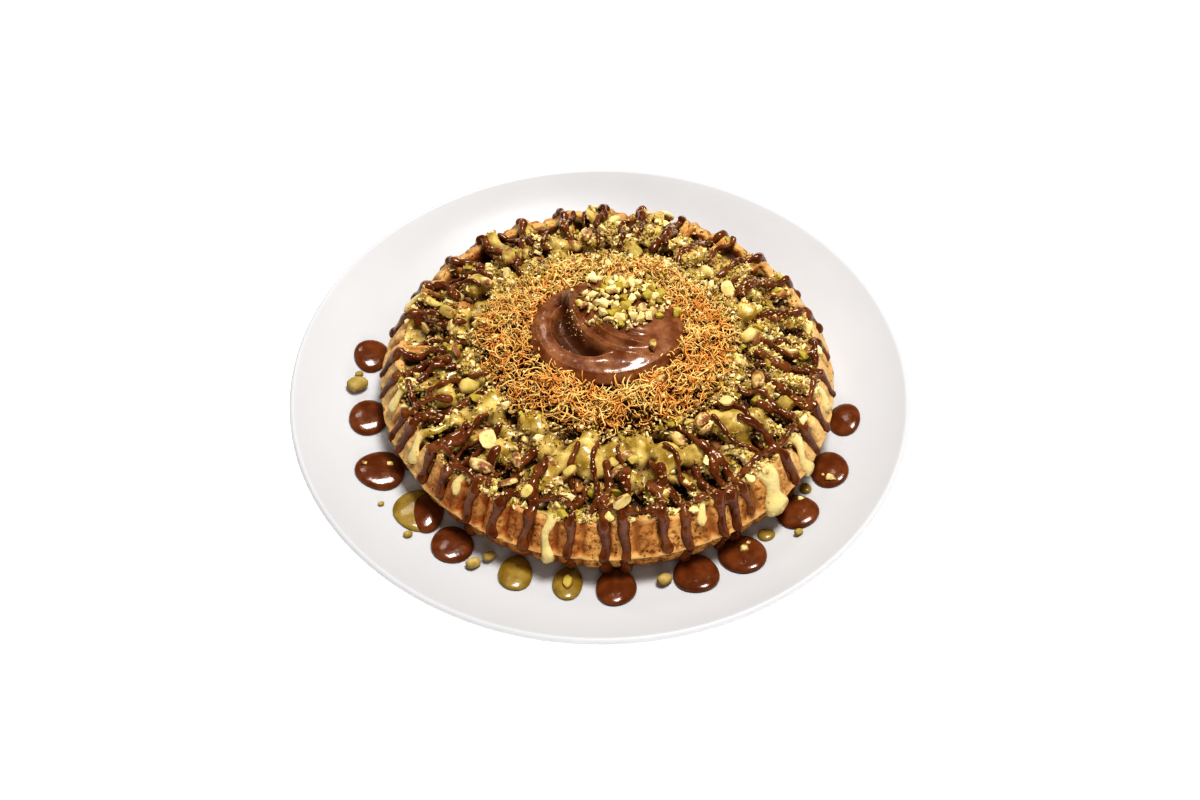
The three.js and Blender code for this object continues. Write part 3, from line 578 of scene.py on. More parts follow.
# Browning together with painted shade: darker in the grooves, in the pocket floors and on the
# left-front side.
browned_and_shaded_mix = batter.attribute("browned") * batter.noise(5, 3).between(0.25, 0.6)
pores = batter.spots(2.6, 0.1, 0.24) * batter.noise(5, 2).between(0.42, 0.55)
cracks = batter.noise(1.6, 3, where=batter.scaled((1, 1, 2.6))).between(0.62, 0.72)
baked_batter = batter.surface(
    batter.layers((218, 168, 100), (patch.between(0.35, 0.65), (178, 124, 66)),
                  (crusty, (120, 64, 18)), (browned_and_shaded_mix, (146, 72, 22)),
                  (pores.math("MAXIMUM", pores, cracks * 0.65) * 0.88, (72, 32, 8)),
                  # painted shade in the gaps of the waffle's top
                  (batter.attribute("deep") * 0.85, (72, 24, 3)),
                  # painted highlight on the seam, the flank panels and the rim's top edge
                  (batter.attribute("pale"), (240, 208, 146))),
    0.5 + 0.2 * fleck,
    [(batter.noise(3.4, 4), 0.9), (1 - pores, 0.4), (batter.noise(0.8, 3), 0.1)])

# %% [markdown]
# ## Pastry and nuts
# Thousands of strands and crumbs share a material each. What sets one apart from the next are
# two numbers that the scattering gives it: tone, drawn at random, and low, how far down it lies
# in its heap, which the material darkens as painted shade.

# %% Pastry and nuts
pastry = Finish("shredded_pastry", {"Specular IOR Level": 0.3})
tone, spread = pastry.attribute("tone"), pastry.noise(11, 2)
shredded_pastry = pastry.surface(
    pastry.layers((244, 215, 142), (tone, (236, 185, 105)),
                  (pastry.noise(14, 2).between(0.5, 0.66) * 0.5, (214, 140, 52)),
                  ((tone * 0.5 + spread).between(0.7, 1.0), (232, 160, 82)),
                  # painted shade on strands low in the heap
                  (pastry.attribute("low") * 0.97, (74, 24, 1))),
    0.42 + 0.2 * pastry.noise(2, 2), [(pastry.noise(0.9, 2), 0.05)])

# The nest's core is a dark sheet of painted shade, with a faint web of strands in it.
under = Finish("pastry_core", {"Specular IOR Level": 0.2})
web = under.noise(1.6, 3).between(0.4, 0.62)
pastry_core = under.surface(under.layers((54, 24, 4), (web, (124, 68, 18))), 0.7, [(web, 0.8)])

kernel = Finish("pistachio", {"Specular IOR Level": 0.3})
tone, rub = kernel.attribute("tone"), kernel.noise(1.7, 3)
skin = kernel.attribute("skin") * kernel.noise(2.2, 3).between(0.35, 0.55)
pistachio = kernel.surface(
    kernel.layers((246, 229, 172), (tone, (234, 202, 126)),
                  (tone.between(0.54, 0.84) * 0.9, (170, 156, 50)),
                  (rub.between(0.5, 0.7) * 0.5, (196, 152, 78)), (skin, (146, 92, 60)),
                  # painted shade on nuts low in the heap
                  (kernel.attribute("low") * 0.95, (84, 32, 3))),
    0.45 + 0.2 * rub, [(kernel.noise(1.2, 3), 0.22)])
print("materials:", len(bpy.data.materials))

# %% [markdown]
# ## Plate
# A coupe plate is a turned shape, so one profile is enough: under the foot ring, out and up to
# the lip, over it, and back to the middle. The solid has the same profile with fewer steps.

# %% Plate
def plate_top(radius):
    """Height of the plate's upper face, which is flat in the middle and curves up to the rim."""
    share = np.clip((radius - PLATE_FLAT) / (LIP_MIDDLE - PLATE_FLAT), 0, 1)
    return PLATE_FLOOR + (PLATE_RIM - PLATE_FLOOR) * share**1.7


def plate_shape():
    wall, lip, edge = 3, 1.7, 1.2
    foot = [(0.4, 1.5), (40, 1.5), (63, 1.5), (65, 1.2), (66, 0.2), (66.6, 0), (69.4, 0), (70, 0.2),
            (71, 1.3), (73, 1.5), (90, 1.5)]
    shares = np.linspace(0, 0.97, 26)
    radii = PLATE_FLAT + shares * (LIP_MIDDLE - PLATE_FLAT)
    out = [(r + edge * s, plate_top(r) - wall) for r, s in zip(radii, shares)]
    turn = np.radians(np.linspace(-50, 90, 12))
    over = [(LIP_MIDDLE + lip * math.cos(t), PLATE_RIM - lip + lip * math.sin(t)) for t in turn]
    back = [(r, plate_top(r)) for r in radii[::-1]] + [(r, PLATE_FLOOR) for r in (90, 60, 30, 0.4)]
    profile = foot + out + over + back
    return capped([ring(circle(192), radius, height) for radius, height in profile])


finished(mesh_object("plate_glazed", *plate_shape()), porcelain, "porcelain", "plate")

# %% [markdown]
# ## Waffle
# The waffle is one skin of rings too: in from under the foot, up the fluted side with its seam,
# over the edge, and in over the ridges and pockets as far as the cream covers it. Grooves,
# pockets and the baked roughness are moved corners, because the light catches them at the edge
# of the waffle.

# %% The waffle's form
def wall_radius(height):
    """The side leans in above the seam, and a little below it."""
    upper = SIDE_SEAM + (height - SEAM) / (TOP - SEAM) * (SIDE_TOP - SIDE_SEAM)
    lower = SIDE_FOOT + (height - BOTTOM) / (SEAM - BOTTOM) * (SIDE_WAIST - SIDE_FOOT)
    return np.where(height > SEAM, upper, lower)


def groove(angle):
    """1 in the grooves between the flutes."""
    flute = angle * FLUTES / (2 * np.pi)
    return bell(flute - np.round(flute), 0.12)


def from_wall(radius, angle):
    """Millimetres to the nearest wall between two pockets."""
    turn = angle / POCKET_STEP
    return np.abs(turn - np.round(turn)) * POCKET_STEP * radius


def pocket_chance(angle):
    return chance(np.floor(angle % (2 * np.pi) / POCKET_STEP) + 17)


def in_pocket(radius, angle):
    """1 on the floor of a pocket, 0 on the ridges."""
    along = smooth(75, 77.2, radius) * (1 - smooth(85.8, 88.3, radius))
    return along * smooth(1.9, 4.1, from_wall(radius, angle))


def open_end(angle):
    """1 where a pocket is open to the outside, which it is everywhere but at the front."""
    shut = smooth(0.62, 0.82, -np.sin(angle))
    depth = 0.35 + 0.65 * chance(np.floor(angle / POCKET_STEP) + 5)
    return smooth(2.2, 4.6, from_wall(90, angle)) * (1 - shut) * depth


def waffle_rows():
    """Each ring's radius and height, and how far it belongs to the side and to the seam."""
    rows = [(radius, BOTTOM, 0, 0) for radius in (60, 85, 93, 95)]
    below, above = np.linspace(BOTTOM + 0.3, SEAM - 0.9, 13), np.linspace(SEAM + 0.9, TOP - 2, 15)
    edge = [TOP - 1.4, TOP - 0.9, TOP - 0.4]
    for height in [*below, SEAM - 0.45, SEAM, SEAM + 0.45, *above, *edge]:
        seam = bell(height - SEAM, 0.55)
        rows.append((float(wall_radius(height)) + 1.6 * seam, height, 1 - seam, seam))
    inward = [90.4, 89.7, *np.linspace(89, 73, 29), 70, 66, 60, 40, 1]
    return rows + [(radius, TOP, 0, 0) for radius in inward]


# %% Waffle
angle = circle(FLUTES * 14)
flute, flank = groove(angle), smooth(0.7, 0.86, np.abs(np.cos(angle)))
uneven = chance(np.floor(angle * FLUTES / (2 * np.pi) + 1e-6))
# left marks the left-front side of the wall, which is darkened with painted shade.
left = bell(np.degrees(angle) - 232, 26)
rings, crust, browned, pale = [], [], [], []
for radius, height, side, seam in waffle_rows():
    cut = flute * ((2.4 if height > SEAM else 1.5) + 1.2 * flank) * side
    swell = 0.7 * (1 - flute) * side * math.sin(math.pi * np.clip((height - 4) / 29, 0, 1))
    foot = 1.8 * max(0, 1 - (height - BOTTOM) / 5) ** 2 if height < SEAM - 1 else 0
    out = radius - cut + swell * 0.6 - foot
    x, y = out * np.cos(angle), out * np.sin(angle)
    bake = noise(x, y, height, 7, 3) * 0.8 + noise(x, y, height, 2.2, 5) * 0.35
    out = out + bake * (1 if height > BOTTOM else 0)
    z = height - 4.2 * smooth(TOP - 8, TOP, height) * smooth(84, 87, radius) * open_end(angle)
    if height > TOP - 2:
        worn = 1.5 * flute + 2.2 * uneven - 0.9 - 0.8 * noise(x, y, 0, 6, 15)
        z = z - smooth(TOP - 2, TOP, height) * worn
    if radius < 92 and height >= TOP:
        sunk = in_pocket(radius + 0.8 * noise(x, y, 7, 4, 13), angle)
        z = z - (z - (21.5 + 3.5 * pocket_chance(angle))) * sunk + noise(x, y, 3, 5, 9) * 0.9
        z = z - 0.9 * (1 - smooth(60, 74, radius))
    rings.append(ring(angle, out, z) + [*WAFFLE, 0])
    inner = (height >= TOP and radius < 88) * smooth(0.02, 0.3, in_pocket(radius, angle))
    sides, lip = flank * side, (height > TOP - 1.2) * (radius > 88)
    crust.append(np.clip(1 - flute, 0, 1) * (0.35 + 0.65 * side))
    # Browning together with painted shade: darker in the grooves, more so on the flanks, in the
    # pocket floors and on the left-front side.
    browned_and_shaded_share = 0.6 * left * side * (1 - sides) + 0.9 * inner + (0.5 + 0.4 * sides) * flute * side
    browned.append(np.clip(browned_and_shaded_share, 0, 1))
    # Painted highlight: paler on the seam, on the flank panels between the grooves and on the rim's
    # top edge.
    pale.append(np.clip(seam**3 + 0.5 * sides * (1 - flute) + lip * 0.2, 0, 1))
waffle = mesh_object("waffle_baked", *capped(rings), crust=np.concatenate(crust),
                     browned=np.concatenate(browned), pale=np.concatenate(pale))
finished(waffle, baked_batter, "baked_batter", "waffle")

# %% [markdown]
# ## Pistachio cream
# The cream is a low dome with lumps and hollows. It fills the pockets in part, coats some
# ridges and runs over the edge. A height function gives the dome, balls give the lobes that
# overhang, and tubes side by side give the streams. One Remesh then melts them into a single
# skin, as gravity would.

# %% The cream's form
def cream_top(x, y, lumps=True):
    """The solid's upper face at a place given from the waffle's middle."""
    height = 33.8 + 6 * np.maximum(0, 1 - (np.hypot(x, y) / 60) ** 2)
    if lumps:
        for *place, rise in LUMPS:
            height = height + rise * mound(x + WAFFLE[0], y + WAFFLE[1], *place)
    return height + 0.5 * np.sin(0.31 * x + 1.3) * np.sin(0.27 * y + 0.4)


def dome_height(x, y):
    """The dome with a moat around each lump, and with the hollows."""
    height = cream_top(x, y) + 1.3 * noise(x, y, 0, 7, 21)
    x, y = x + WAFFLE[0], y + WAFFLE[1]
    for lump_x, lump_y, half_x, half_y, rise in LUMPS:
        away = np.hypot((x - lump_x) / half_x, (y - lump_y) / half_y)
        height = height - 3.2 * bell(away - 1.3, 0.26)
    for *place, depth in HOLLOWS:
        height = height - 1.25 * depth * dent(x, y, *place)
    return height


def rim_height(x, y, radius, angle):
    """Cream in the pockets, and in patches on the ridges between them."""
    rear = smooth(0.1, 0.6, np.sin(angle)) * smooth(80, 84, radius)
    fill = 23.5 + 6.5 * pocket_chance(angle) + 1.8 * noise(x, y, 0, 5, 25)
    fill = fill - 2.5 * rear
    coat = 2.8 * smooth(-0.3, 0.3, noise(x, y, 0, 10, 27, 2)) - 1.1
    coat = coat - 1.1 * smooth(86.5, 90, radius) - 1.6 * rear
    ridge = TOP - (TOP - 21) * in_pocket(radius, angle) + coat
    dip = (3.6 + 1.5 * noise(x, y, 0, 3, 28)) * open_end(angle) * smooth(85.5, 88, radius)
    return np.maximum(fill - 2 * smooth(86, 89, radius), ridge - dip)


def cream_height(radius, angle):
    x, y = radius * np.cos(angle), radius * np.sin(angle)
    dome, rim = dome_height(x, y), rim_height(x, y, radius, angle)
    return dome + (rim - dome) * smooth(71, 76, radius + 1.5 * noise(x, y, 4, 8, 29))


def dome_shape():
    angle = circle(480)
    radii = np.concatenate([[1, 15, 30], np.arange(38, 90.6, 1.15)])
    rings = [ring(angle, r, cream_height(np.full(480, r), angle)) for r in radii]
    rings += [ring(angle, r, 19.0) for r in radii[[-1, 0]]]
    return capped([r + [*WAFFLE, 0] for r in rings])


def lobe_shapes():
    """The lumps and lobes of the tables, and 120 small lumps drawn at random."""
    shapes = []
    for number, (x, y, half_x, half_y, rise) in enumerate(LUMPS):
        base = float(cream_top(x - WAFFLE[0], y - WAFFLE[1], False))
        halves = (half_x * 0.92, half_y * 0.92, rise + 1.6)
        shapes.append(ball((x, y, base + 0.25 * rise), halves, bulge=0.35, seed=number))
    for number, (x, y, half) in enumerate(LOBES):
        base = float(cream_top(x - WAFFLE[0], y - WAFFLE[1], False))
        halves = (half * 0.92, half * 0.8, 0.85 * half)
        shapes.append(ball((x, y, base - 0.3 * half + 1.2), halves, bulge=0.35, seed=number + 7))
    draw = np.random.default_rng(11)
    for number in range(120):
        turn, radius = draw.uniform(-math.pi, math.pi), draw.uniform(54, 88)
        half = draw.uniform(2.4, 4.8)
        if math.sin(turn) > 0.15 and radius > 79:
            continue
        place = WAFFLE + radius * np.array([math.cos(turn), math.sin(turn)])
        level = float(cream_height(np.array(radius), np.array(turn)))
        halves = (half, half * draw.uniform(0.7, 1.1), half * 0.85)
        shapes.append(ball((*place, level + 0.15 * half), halves, 9, 12, 0.5, number + 30))
    return shapes


def tongue_shapes():
    """Cream that runs over the edge: tubes side by side, with a thicker end."""
    shapes = []
    for number, (degrees, half, end) in enumerate(TONGUES):
        route = [(74, TOP - 0.5), (79, TOP + 0.8), (85, TOP + 1.1), (89.5, TOP + 0.7),
                 (91.8, TOP - 1.5)]
        for height in np.arange(TOP - 4, max(end, SEAM + 1.5), -2.2):
            route.append((float(wall_radius(height)) + 0.5, height))
        if end < SEAM:
            route += [(99.3, SEAM), (98.9, SEAM - 2.5), (98.4, end)]
        route = np.array(route)
        step = lengths(route)
        fine = np.linspace(0, step[-1], 34)
        out, up = np.interp(fine, step, route[:, 0]), np.interp(fine, step, route[:, 1])
        sway = 0.012 * np.sin(fine * 0.35 + number)
        t = fine / step[-1]
        ends = 0.35 * smooth(0.25, 0.0, t) + 0.3 * smooth(0.7, 0.95, t)
        width = half * (0.85 + ends - 0.18 * np.sin(t * 7) ** 2)
        for offset in np.linspace(-0.62, 0.62, 5):
            across = math.radians(degrees) + sway + offset * width / 90
            path = ring(across, out, up - 0.35 * np.abs(offset)) + [*WAFFLE, 0]
            radii = 0.5 * width * (1.12 - 0.5 * abs(offset)) + 0.3
            keep = slice(0, len(path) - int(4 * abs(offset)))
            shapes.append(tube(path[keep], radii[keep], 8))
    return shapes


# %% Cream
cream_piece = mesh_object("cream_coat", *joined([dome_shape()] + lobe_shapes() + tongue_shapes()))
melted(cream_piece, voxel=0.85)
x, y, z = corners_of(cream_piece).T
away = polar(x, y)[0]
# The underside, and the middle where the nest lies, are never seen
without(cream_piece, ((z < 20.2) & (away < 88)) | (away < 46))
x, y, z = corners_of(cream_piece).T
store(cream_piece.data, "pale", smooth(89, 91, polar(x, y)[0]))
topping = Field(5, waffle, cream_piece)


def inside(x, y, z):
    return polar(x, y)[0] < RIM


# Painted shade in the gaps of the cream and of the waffle's top, from how far each corner lies
# below the evened-out topping.
shaded(cream_piece, "deep", topping, -2.4, 0.5, inside)
shaded(waffle, "deep", topping, -3, 0.5, lambda x, y, z: inside(x, y, z) * (z > 19))
finished(cream_piece, pistachio_cream, "pistachio_cream", "pistachio_cream")

# %% [markdown]
# ## Nest
# A heap of shreds has no surface of its own. A dark core in the form of the solid, a sheet of
# painted shade, stops the eye between the strands, and thousands of loose strands are scattered
# on it further down.

# %% Nest core
def nest_edge(angle):
    wave = 1 + 0.022 * np.sin(7 * angle) + 0.018 * np.sin(12 * angle + 2)
    return wave / np.hypot(np.cos(angle) / NEST_X, np.sin(angle) / NEST_Y)


def nest_height(x, y):
    angle = np.arctan2(y, x)
    share = np.hypot(x, y) / nest_edge(angle)
    rim = cream_top(x, y) + GAP + 2.4
    fall = smooth(NEST_FLAT, 1.02, share)
    bump = 0.9 * np.sin(9 * angle + 6 * share) * np.cos(13 * angle - 9 * share)
    bump = bump * smooth(NEST_FLAT, 0.8, share)
    slope = np.maximum(rim, NEST_TOP + (rim - NEST_TOP) * fall + bump)
    return np.where(share < NEST_FLAT, NEST_TOP, slope)


def nest_shape():
    angle = circle(180)
    rings = []
    for share in (1.0, *np.linspace(1.0, 0.3, 30), 0.02):
        radius = share * nest_edge(angle)
        x, y = radius * np.cos(angle), radius * np.sin(angle)
        lower = 1.7 * smooth(0.4, 0.62, share) + 1.1 * noise(x, y, 0, 4, 33) + 0.3
        rings.append(ring(angle, radius, nest_height(x, y) - lower))
    rings[0][:, 2] -= 4
    return capped([r + [*WAFFLE, 0] for r in rings])


# The core, painted shade under the strands
nest = mesh_object("nest_core", *nest_shape())
finished(nest, pastry_core, "shredded_pastry", "kataifi_nest")

# %% [markdown]
# ## Drizzle
# Each line of chocolate starts on the cream, lies over whatever is there, passes the edge and
# hangs down the side to a bead. A poured line is stiff, so it bridges narrow gaps and doesn't
# follow them, which draped works out. Some neighbours are joined by loops, and all lines are
# melted together.

# %% Lines that lie and hang
ground = Ground(waffle, cream_piece, nest)


def draped(path, radius):
    """Heights for a line lying on the ground: it bridges what is narrower than it is stiff."""
    heights = np.array([ground.height(x, y) for x, y in path])
    step = lengths(path)
    away = np.abs(step[:, None] - step[None, :])
    over = np.max(heights[None, :] - 0.35 * away**1.25, axis=1)
    weight = bell(away, 1.3)
    soft = (weight @ over) / weight.sum(1)
    return np.maximum(soft, heights) + 0.5 * radius + 0.7


def on_ring(degrees, radius):
    turn = np.radians(degrees)
    return np.stack([WAFFLE[0] + radius * np.cos(turn), WAFFLE[1] + radius * np.sin(turn)], -1)


def beads(step, slow, fast, number):
    """How a poured line swells and thins along its length: two waves laid over each other."""
    return 1 + 0.2 * np.sin(step * slow + number) + 0.14 * np.sin(step * fast + 2 * number)


def drip_shape(number, degrees, end, reach):
    """A line from reach millimetres inside the edge out over it and down to its bead."""
    base = 1.75 + 0.5 * chance(number + 3)
    inner = np.linspace(90 - reach, 90.3, int(reach / 0.8) + 2)
    lean = 3.5 * (chance(number + 11) - 0.5)
    t = (90 - inner) / reach
    path = on_ring(degrees + (lean * t * 2 + 0.9 * np.sin(t * 6 + number)), inner)
    over = np.column_stack([path, draped(path, 0.8 * base)])
    heights = np.arange(TOP - 1.6, end, -1.0)
    bead, neck = 0.9 * bell(heights - end - 1, 1.7), 0.5 * bell(heights - end - 6, 2.6)
    thick = base * (1 + 0.12 * np.sin(heights * 0.6 + number)) + bead
    thick = thick + 0.9 * smooth(TOP - 6, TOP - 1, heights) - neck
    out = wall_radius(heights) + 1.3 + 0.8 * bell(heights - SEAM, 1.6) - 0.7 * thick
    sway = degrees + 0.35 * np.sin(heights * 0.45 + number)
    down = np.column_stack([on_ring(sway, out), heights])
    laid = 0.88 * base * beads(0.9 * np.arange(len(over)), 0.55, 1.3, number)
    return tube(np.concatenate([over, down]), np.concatenate([laid, thick]), 10)


def laid_shape(number, degrees, radius, thickness):
    """A line that lies on the topping through places given by angle and radius."""
    path = on_ring(degrees, radius)
    radii = thickness * beads(lengths(path), 0.9, 2.1, number)
    return tube(np.column_stack([path, draped(path, thickness)]), radii, 10)


# %% Drizzle
rear_drips = [(3 + 12.6 * i + 2 * (chance(i + 31) - 0.5), 17 + 8 * chance(i + 47))
              for i in range(14)]
lines = sorted(FRONT_DRIPS + rear_drips)
strands = []
for number, (degrees, end) in enumerate(lines):
    strands.append(drip_shape(number, degrees, end, 14 + 14 * chance(number + 70)))
    after = lines[(number + 1) % len(lines)][0] + (360 if number == len(lines) - 1 else 0)
    if after - degrees < 16 and number % 3 and degrees < 5:
        share = np.linspace(0, 1, max(8, int((after - degrees) * 1.7)))
        radius, bulge = 86 + 4 * chance(number + 75), 3 * (chance(number + 76) - 0.7)
        loop = np.minimum(radius + bulge * np.sin(np.pi * share), 90)
        strands.append(laid_shape(number, degrees + (after - degrees) * share, loop, 1.4))
share = np.linspace(0, 1, 30)
for number in range(38):
    start, reach = 54 + 14 * chance(number + 130), 16 + 14 * chance(number + 150)
    swing = 9 * (chance(number + 140) - 0.5)
    turns = 360 * number / 38 + 4 * (chance(number + 120) - 0.5) + swing * share
    turns = turns + 1.1 * np.sin(share * 7 + number)
    out = np.minimum(start + reach * share, RIM)
    strands.append(laid_shape(number, turns, out, 1.0 + 0.35 * chance(number + 160)))
drizzle = mesh_object("chocolate_drizzle", *joined(strands))
melted(drizzle, voxel=0.68, rounds=2)
finished(drizzle, chocolate_lines, "chocolate")

# %% [markdown]
# ## Swirl
# The chocolate was turned with the back of a spoon. Its main ridge is an arc that falls from
# the peak to the lower right, with a valley inside it. The solid has the same height function
# without its furrows and sharp crests, which need a finer grid than a solid has.

# %% Swirl
def swirl_form(x, y):
    """At a place given from the swirl's middle: its height, and painted shade up to 1 in the valley
    and beside the peak.
    """
    share = np.minimum(1, np.hypot(x / SWIRL_X, y / SWIRL_Y))
    edge = np.sqrt(1 - share**6)
    from_ridge = np.hypot(x - RIDGE_X, y - RIDGE_Y) - RIDGE_RADIUS
    turn = np.degrees(np.arctan2(y - RIDGE_Y, x - RIDGE_X)) % 360
    along = (turn - RIDGE_START) / (RIDGE_END - RIDGE_START)
    on_ridge = smooth(-0.12, 0.04, along) * (1 - smooth(0.85, 1.15, along))
    furrow = np.sin(from_ridge * 2.1 + 1.5 * np.sin(along * 4)) * on_ridge
    furrow *= smooth(0, -4, from_ridge)
    valley = 18 - np.hypot(x + 6, y + 1)
    beside_peak = (x + 19.2) ** 2 + (y - 12) ** 2
    rise = SWIRL_PEAK - SWIRL_BASE - SWIRL_BODY - 1.2
    rise = 1.2 + rise * np.maximum(0, 1 - along / 0.55) ** 1.6
    height = SWIRL_BODY * edge - 4 * smooth(0, 5, from_ridge) * smooth(0, 4, valley)
    height += rise * on_ridge * bell(from_ridge, 3.4)
    height += 1.1 * on_ridge * bell(from_ridge + 7.5, 2)
    height += 0.9 * edge * bell(share - 0.86, 0.09)
    height += 0.25 * furrow
    height += 0.3 * noise(x, y, 0, 6, 41)
    height -= 1.5 * smooth(0, 2.5, from_ridge) * smooth(0.5, 3, valley)
    height += 1.7 * on_ridge * crest(from_ridge + 0.4, 1.2)
    height += 1.2 * on_ridge * crest(from_ridge + 7.5, 1.0)
    height -= on_ridge * bell(from_ridge + 5, 1.6)
    height += 1.2 * smooth(0, 3, from_ridge) * crest(valley, 1.1)
    height += 0.9 * edge * crest(share - 0.9, 0.025)
    height -= 1.6 * np.exp(-beside_peak / 9)
    # Painted shade in the valley inside the ridge and in the hollow beside the peak
    hollow = 0.75 * smooth(0, 3, from_ridge) * smooth(0.5, 4, valley) + np.exp(-beside_peak / 12)
    return SWIRL_BASE + np.maximum(0.6, height), np.clip(hollow, 0, 1)


angle, rings, hollows = circle(300), [], []
foot = [(0.9, 44.6), (0.97, 45.0), (1.0, 46.2), (1.005, 47.2)]
for share, level in foot + [(s, None) for s in 1 - np.linspace(0.005, 0.985, 100) ** 1.25]:
    x, y = share * SWIRL_X * np.cos(angle), share * SWIRL_Y * np.sin(angle)
    top, hollow = swirl_form(x, y)
    rings.append(np.stack([x, y, top if level is None else np.full(300, level)], 1) + [*SWIRL, 0])
    hollows.append(hollow)
# The swirl carries that painted shade, and the chocolate darkens its hollows with it.
swirl = mesh_object("chocolate_swirl_spooned", *capped(rings), deep=np.concatenate(hollows))
finished(swirl, chocolate, "chocolate", "chocolate_swirl")

# %% [markdown]
# ## Scattering
# One Geometry Nodes tree strews copies of small shapes over a carrier mesh. The carrier's
# attribute share says where they lie thickly. Each copy is leaned, turned, sized and lifted at
# random, and the lift is what turns a flat sprinkle into a heap. Realize Instances makes it
# real mesh, one piece for each kind. Particles or hand placing would also do, but a tree keeps
# every choice in one place.

# %% The scattering tree
FULL_TURN = 6.2832
INPUTS = {"Geometry": "Geometry", "Shapes": "Collection", "Density": "Float", "Apart": "Float",
          "Smallest": "Float", "Largest": "Float", "Lean": "Float", "Lift": "Float", "Seed": "Int",
          "Finish": "Material"}


def scatter_tree(apart):
    """The tree. With apart, the copies keep a distance from each other."""
    tree = bpy.data.node_groups.new("scatter", "GeometryNodeTree")
    for key, kind in INPUTS.items():
        tree.interface.new_socket(key, in_out="INPUT", socket_type="NodeSocket" + kind)
    tree.interface.new_socket("Geometry", in_out="OUTPUT", socket_type="NodeSocketGeometry")

    def add(kind, settings=(), inputs=()):
        return add_node(tree, kind, settings, inputs)

    def drawn(low, high, seed):
        """A random number for each copy. Sockets 2 and 3 are the limits of a float."""
        inputs = {2: low, 3: high, "Seed": seed}
        return Signal(tree, add("FunctionNodeRandomValue", {"data_type": "FLOAT"}, inputs)[1])

    def stored(name, geometry, value):
        return add("GeometryNodeStoreNamedAttribute", {"data_type": "FLOAT", "domain": "INSTANCE"},
                   {"Name": name, "Geometry": geometry, "Value": value})[0]

    sockets = add("NodeGroupInput")
    given = {key: Signal(tree, sockets[key]) for key in INPUTS}
    share = add("GeometryNodeInputNamedAttribute", {"data_type": "FLOAT"}, {"Name": "share"})[0]
    if apart:
        where = {"Distance Min": given["Apart"], "Density Max": given["Density"],
                 "Density Factor": share}
    else:
        where = {"Density": given["Density"] * share}
    points = add("GeometryNodeDistributePointsOnFaces",
                 {"distribute_method": "POISSON" if apart else "RANDOM"},
                 {"Mesh": given["Geometry"], "Seed": given["Seed"], **where})
    shapes = add("GeometryNodeCollectionInfo", (), {
        "Collection": given["Shapes"], "Separate Children": True, "Reset Children": True})[0]
    lean, low = given["Lean"], drawn(0.0, 1.0, 31)
    tilt = add("ShaderNodeCombineXYZ", (), {
        0: drawn(lean * -1.0, lean, 11), 1: drawn(lean * -1.0, lean, 12),
        2: drawn(0.0, FULL_TURN, 13)})
    turn = add("FunctionNodeRotateEuler", {"space": "LOCAL"},
               {"Rotation": points["Rotation"], "Rotate By": tilt[0]})
    placed = add("GeometryNodeInstanceOnPoints", (), {
        "Points": points["Points"], "Instance": shapes, "Pick Instance": True, "Rotation": turn[0],
        "Scale": drawn(given["Smallest"], given["Largest"], 21)})
    up = add("ShaderNodeCombineXYZ", (), {2: (1 - low) * given["Lift"]})
    raised = add("GeometryNodeTranslateInstances", (),
                 {"Instances": placed[0], "Translation": up[0], "Local Space": False})
    # low is stored for the material, which darkens the copies lifted least with painted shade.
    marked = stored("low", stored("tone", raised[0], drawn(0.0, 1.0, 41)), low)
    real = add("GeometryNodeRealizeInstances", (), {"Geometry": marked})
    painted = add("GeometryNodeSetMaterial", (), {"Geometry": real[0], "Material": given["Finish"]})
    add("NodeGroupOutput", (), {0: painted[0]})
    return tree


TREES = {False: scatter_tree(False), True: scatter_tree(True)}


def scattered(carrier, material, slot, field, span, *rows):
    """Strews shapes over the carrier, each row as a piece of its own. A row's share is a function
    of the place, its density is in shapes a square centimetre, and a lean of 3 is any way up."""
    for name, share, shapes, density, smallest, largest, lean, lift, apart, seed in rows:
        copy = bpy.data.objects.new(name, carrier.data.copy())
        bpy.context.scene.collection.objects.link(copy)
        store(copy.data, "share", np.clip(share(*corners_of(carrier).T), 0, 1))
        nodes = copy.modifiers.new("scatter", "NODES")
        nodes.node_group = TREES[apart > 0]
        wanted = {"Shapes": shapes, "Density": density * 1e4, "Apart": apart * MM, "Lean": lean,
                  "Smallest": smallest, "Largest": largest, "Lift": lift * MM, "Seed": seed,
                  "Finish": material}
        for socket in nodes.node_group.interface.items_tree:
            if socket.name in wanted:
                nodes[socket.identifier] = wanted[socket.name]
        applied(copy)
        # With a field, low is replaced by painted shade from how far each corner lies below it.
        if field is not None:
            shaded(copy, "low", field, *span)
        finished(copy, None, slot)

# %% [markdown]
# ## Shapes to strew
# A shelf is a collection of a few variants, so that no two neighbours are alike. They have few
# faces, because each is repeated thousands of times. Strands are thin tubes along a wandering
# path. Crumbs are the hulls of a few random corners, which look broken. All crumbs are about 1
# across.

# %% Shapes to strew
def curl(seed, length, bend):
    """A strand that curls unevenly, built from short steps."""
    draw = np.random.default_rng(seed)
    steps, thickness = 9, 0.3
    heading, rise, place = draw.uniform(0, 6.28), 0.0, np.zeros(3)
    turn = bend * draw.choice([-1, 1])
    path = [place]
    for number in range(steps):
        if number == 5 and seed % 3 == 0:
            turn = -turn
        turn += draw.normal(0, 0.3)
        heading += turn
        rise = 0.6 * rise + draw.normal(0, 0.3)
        place = place + length / steps * np.array([math.cos(heading), math.sin(heading), rise])
        path.append(place)
    path = np.array(path) - np.mean(path, 0)
    radii = thickness * (1 + 0.25 * draw.uniform(-1, 1, steps + 1))
    points, faces = tube(path, radii, 3, rounded=False)
    return points, faces, np.zeros(len(points))


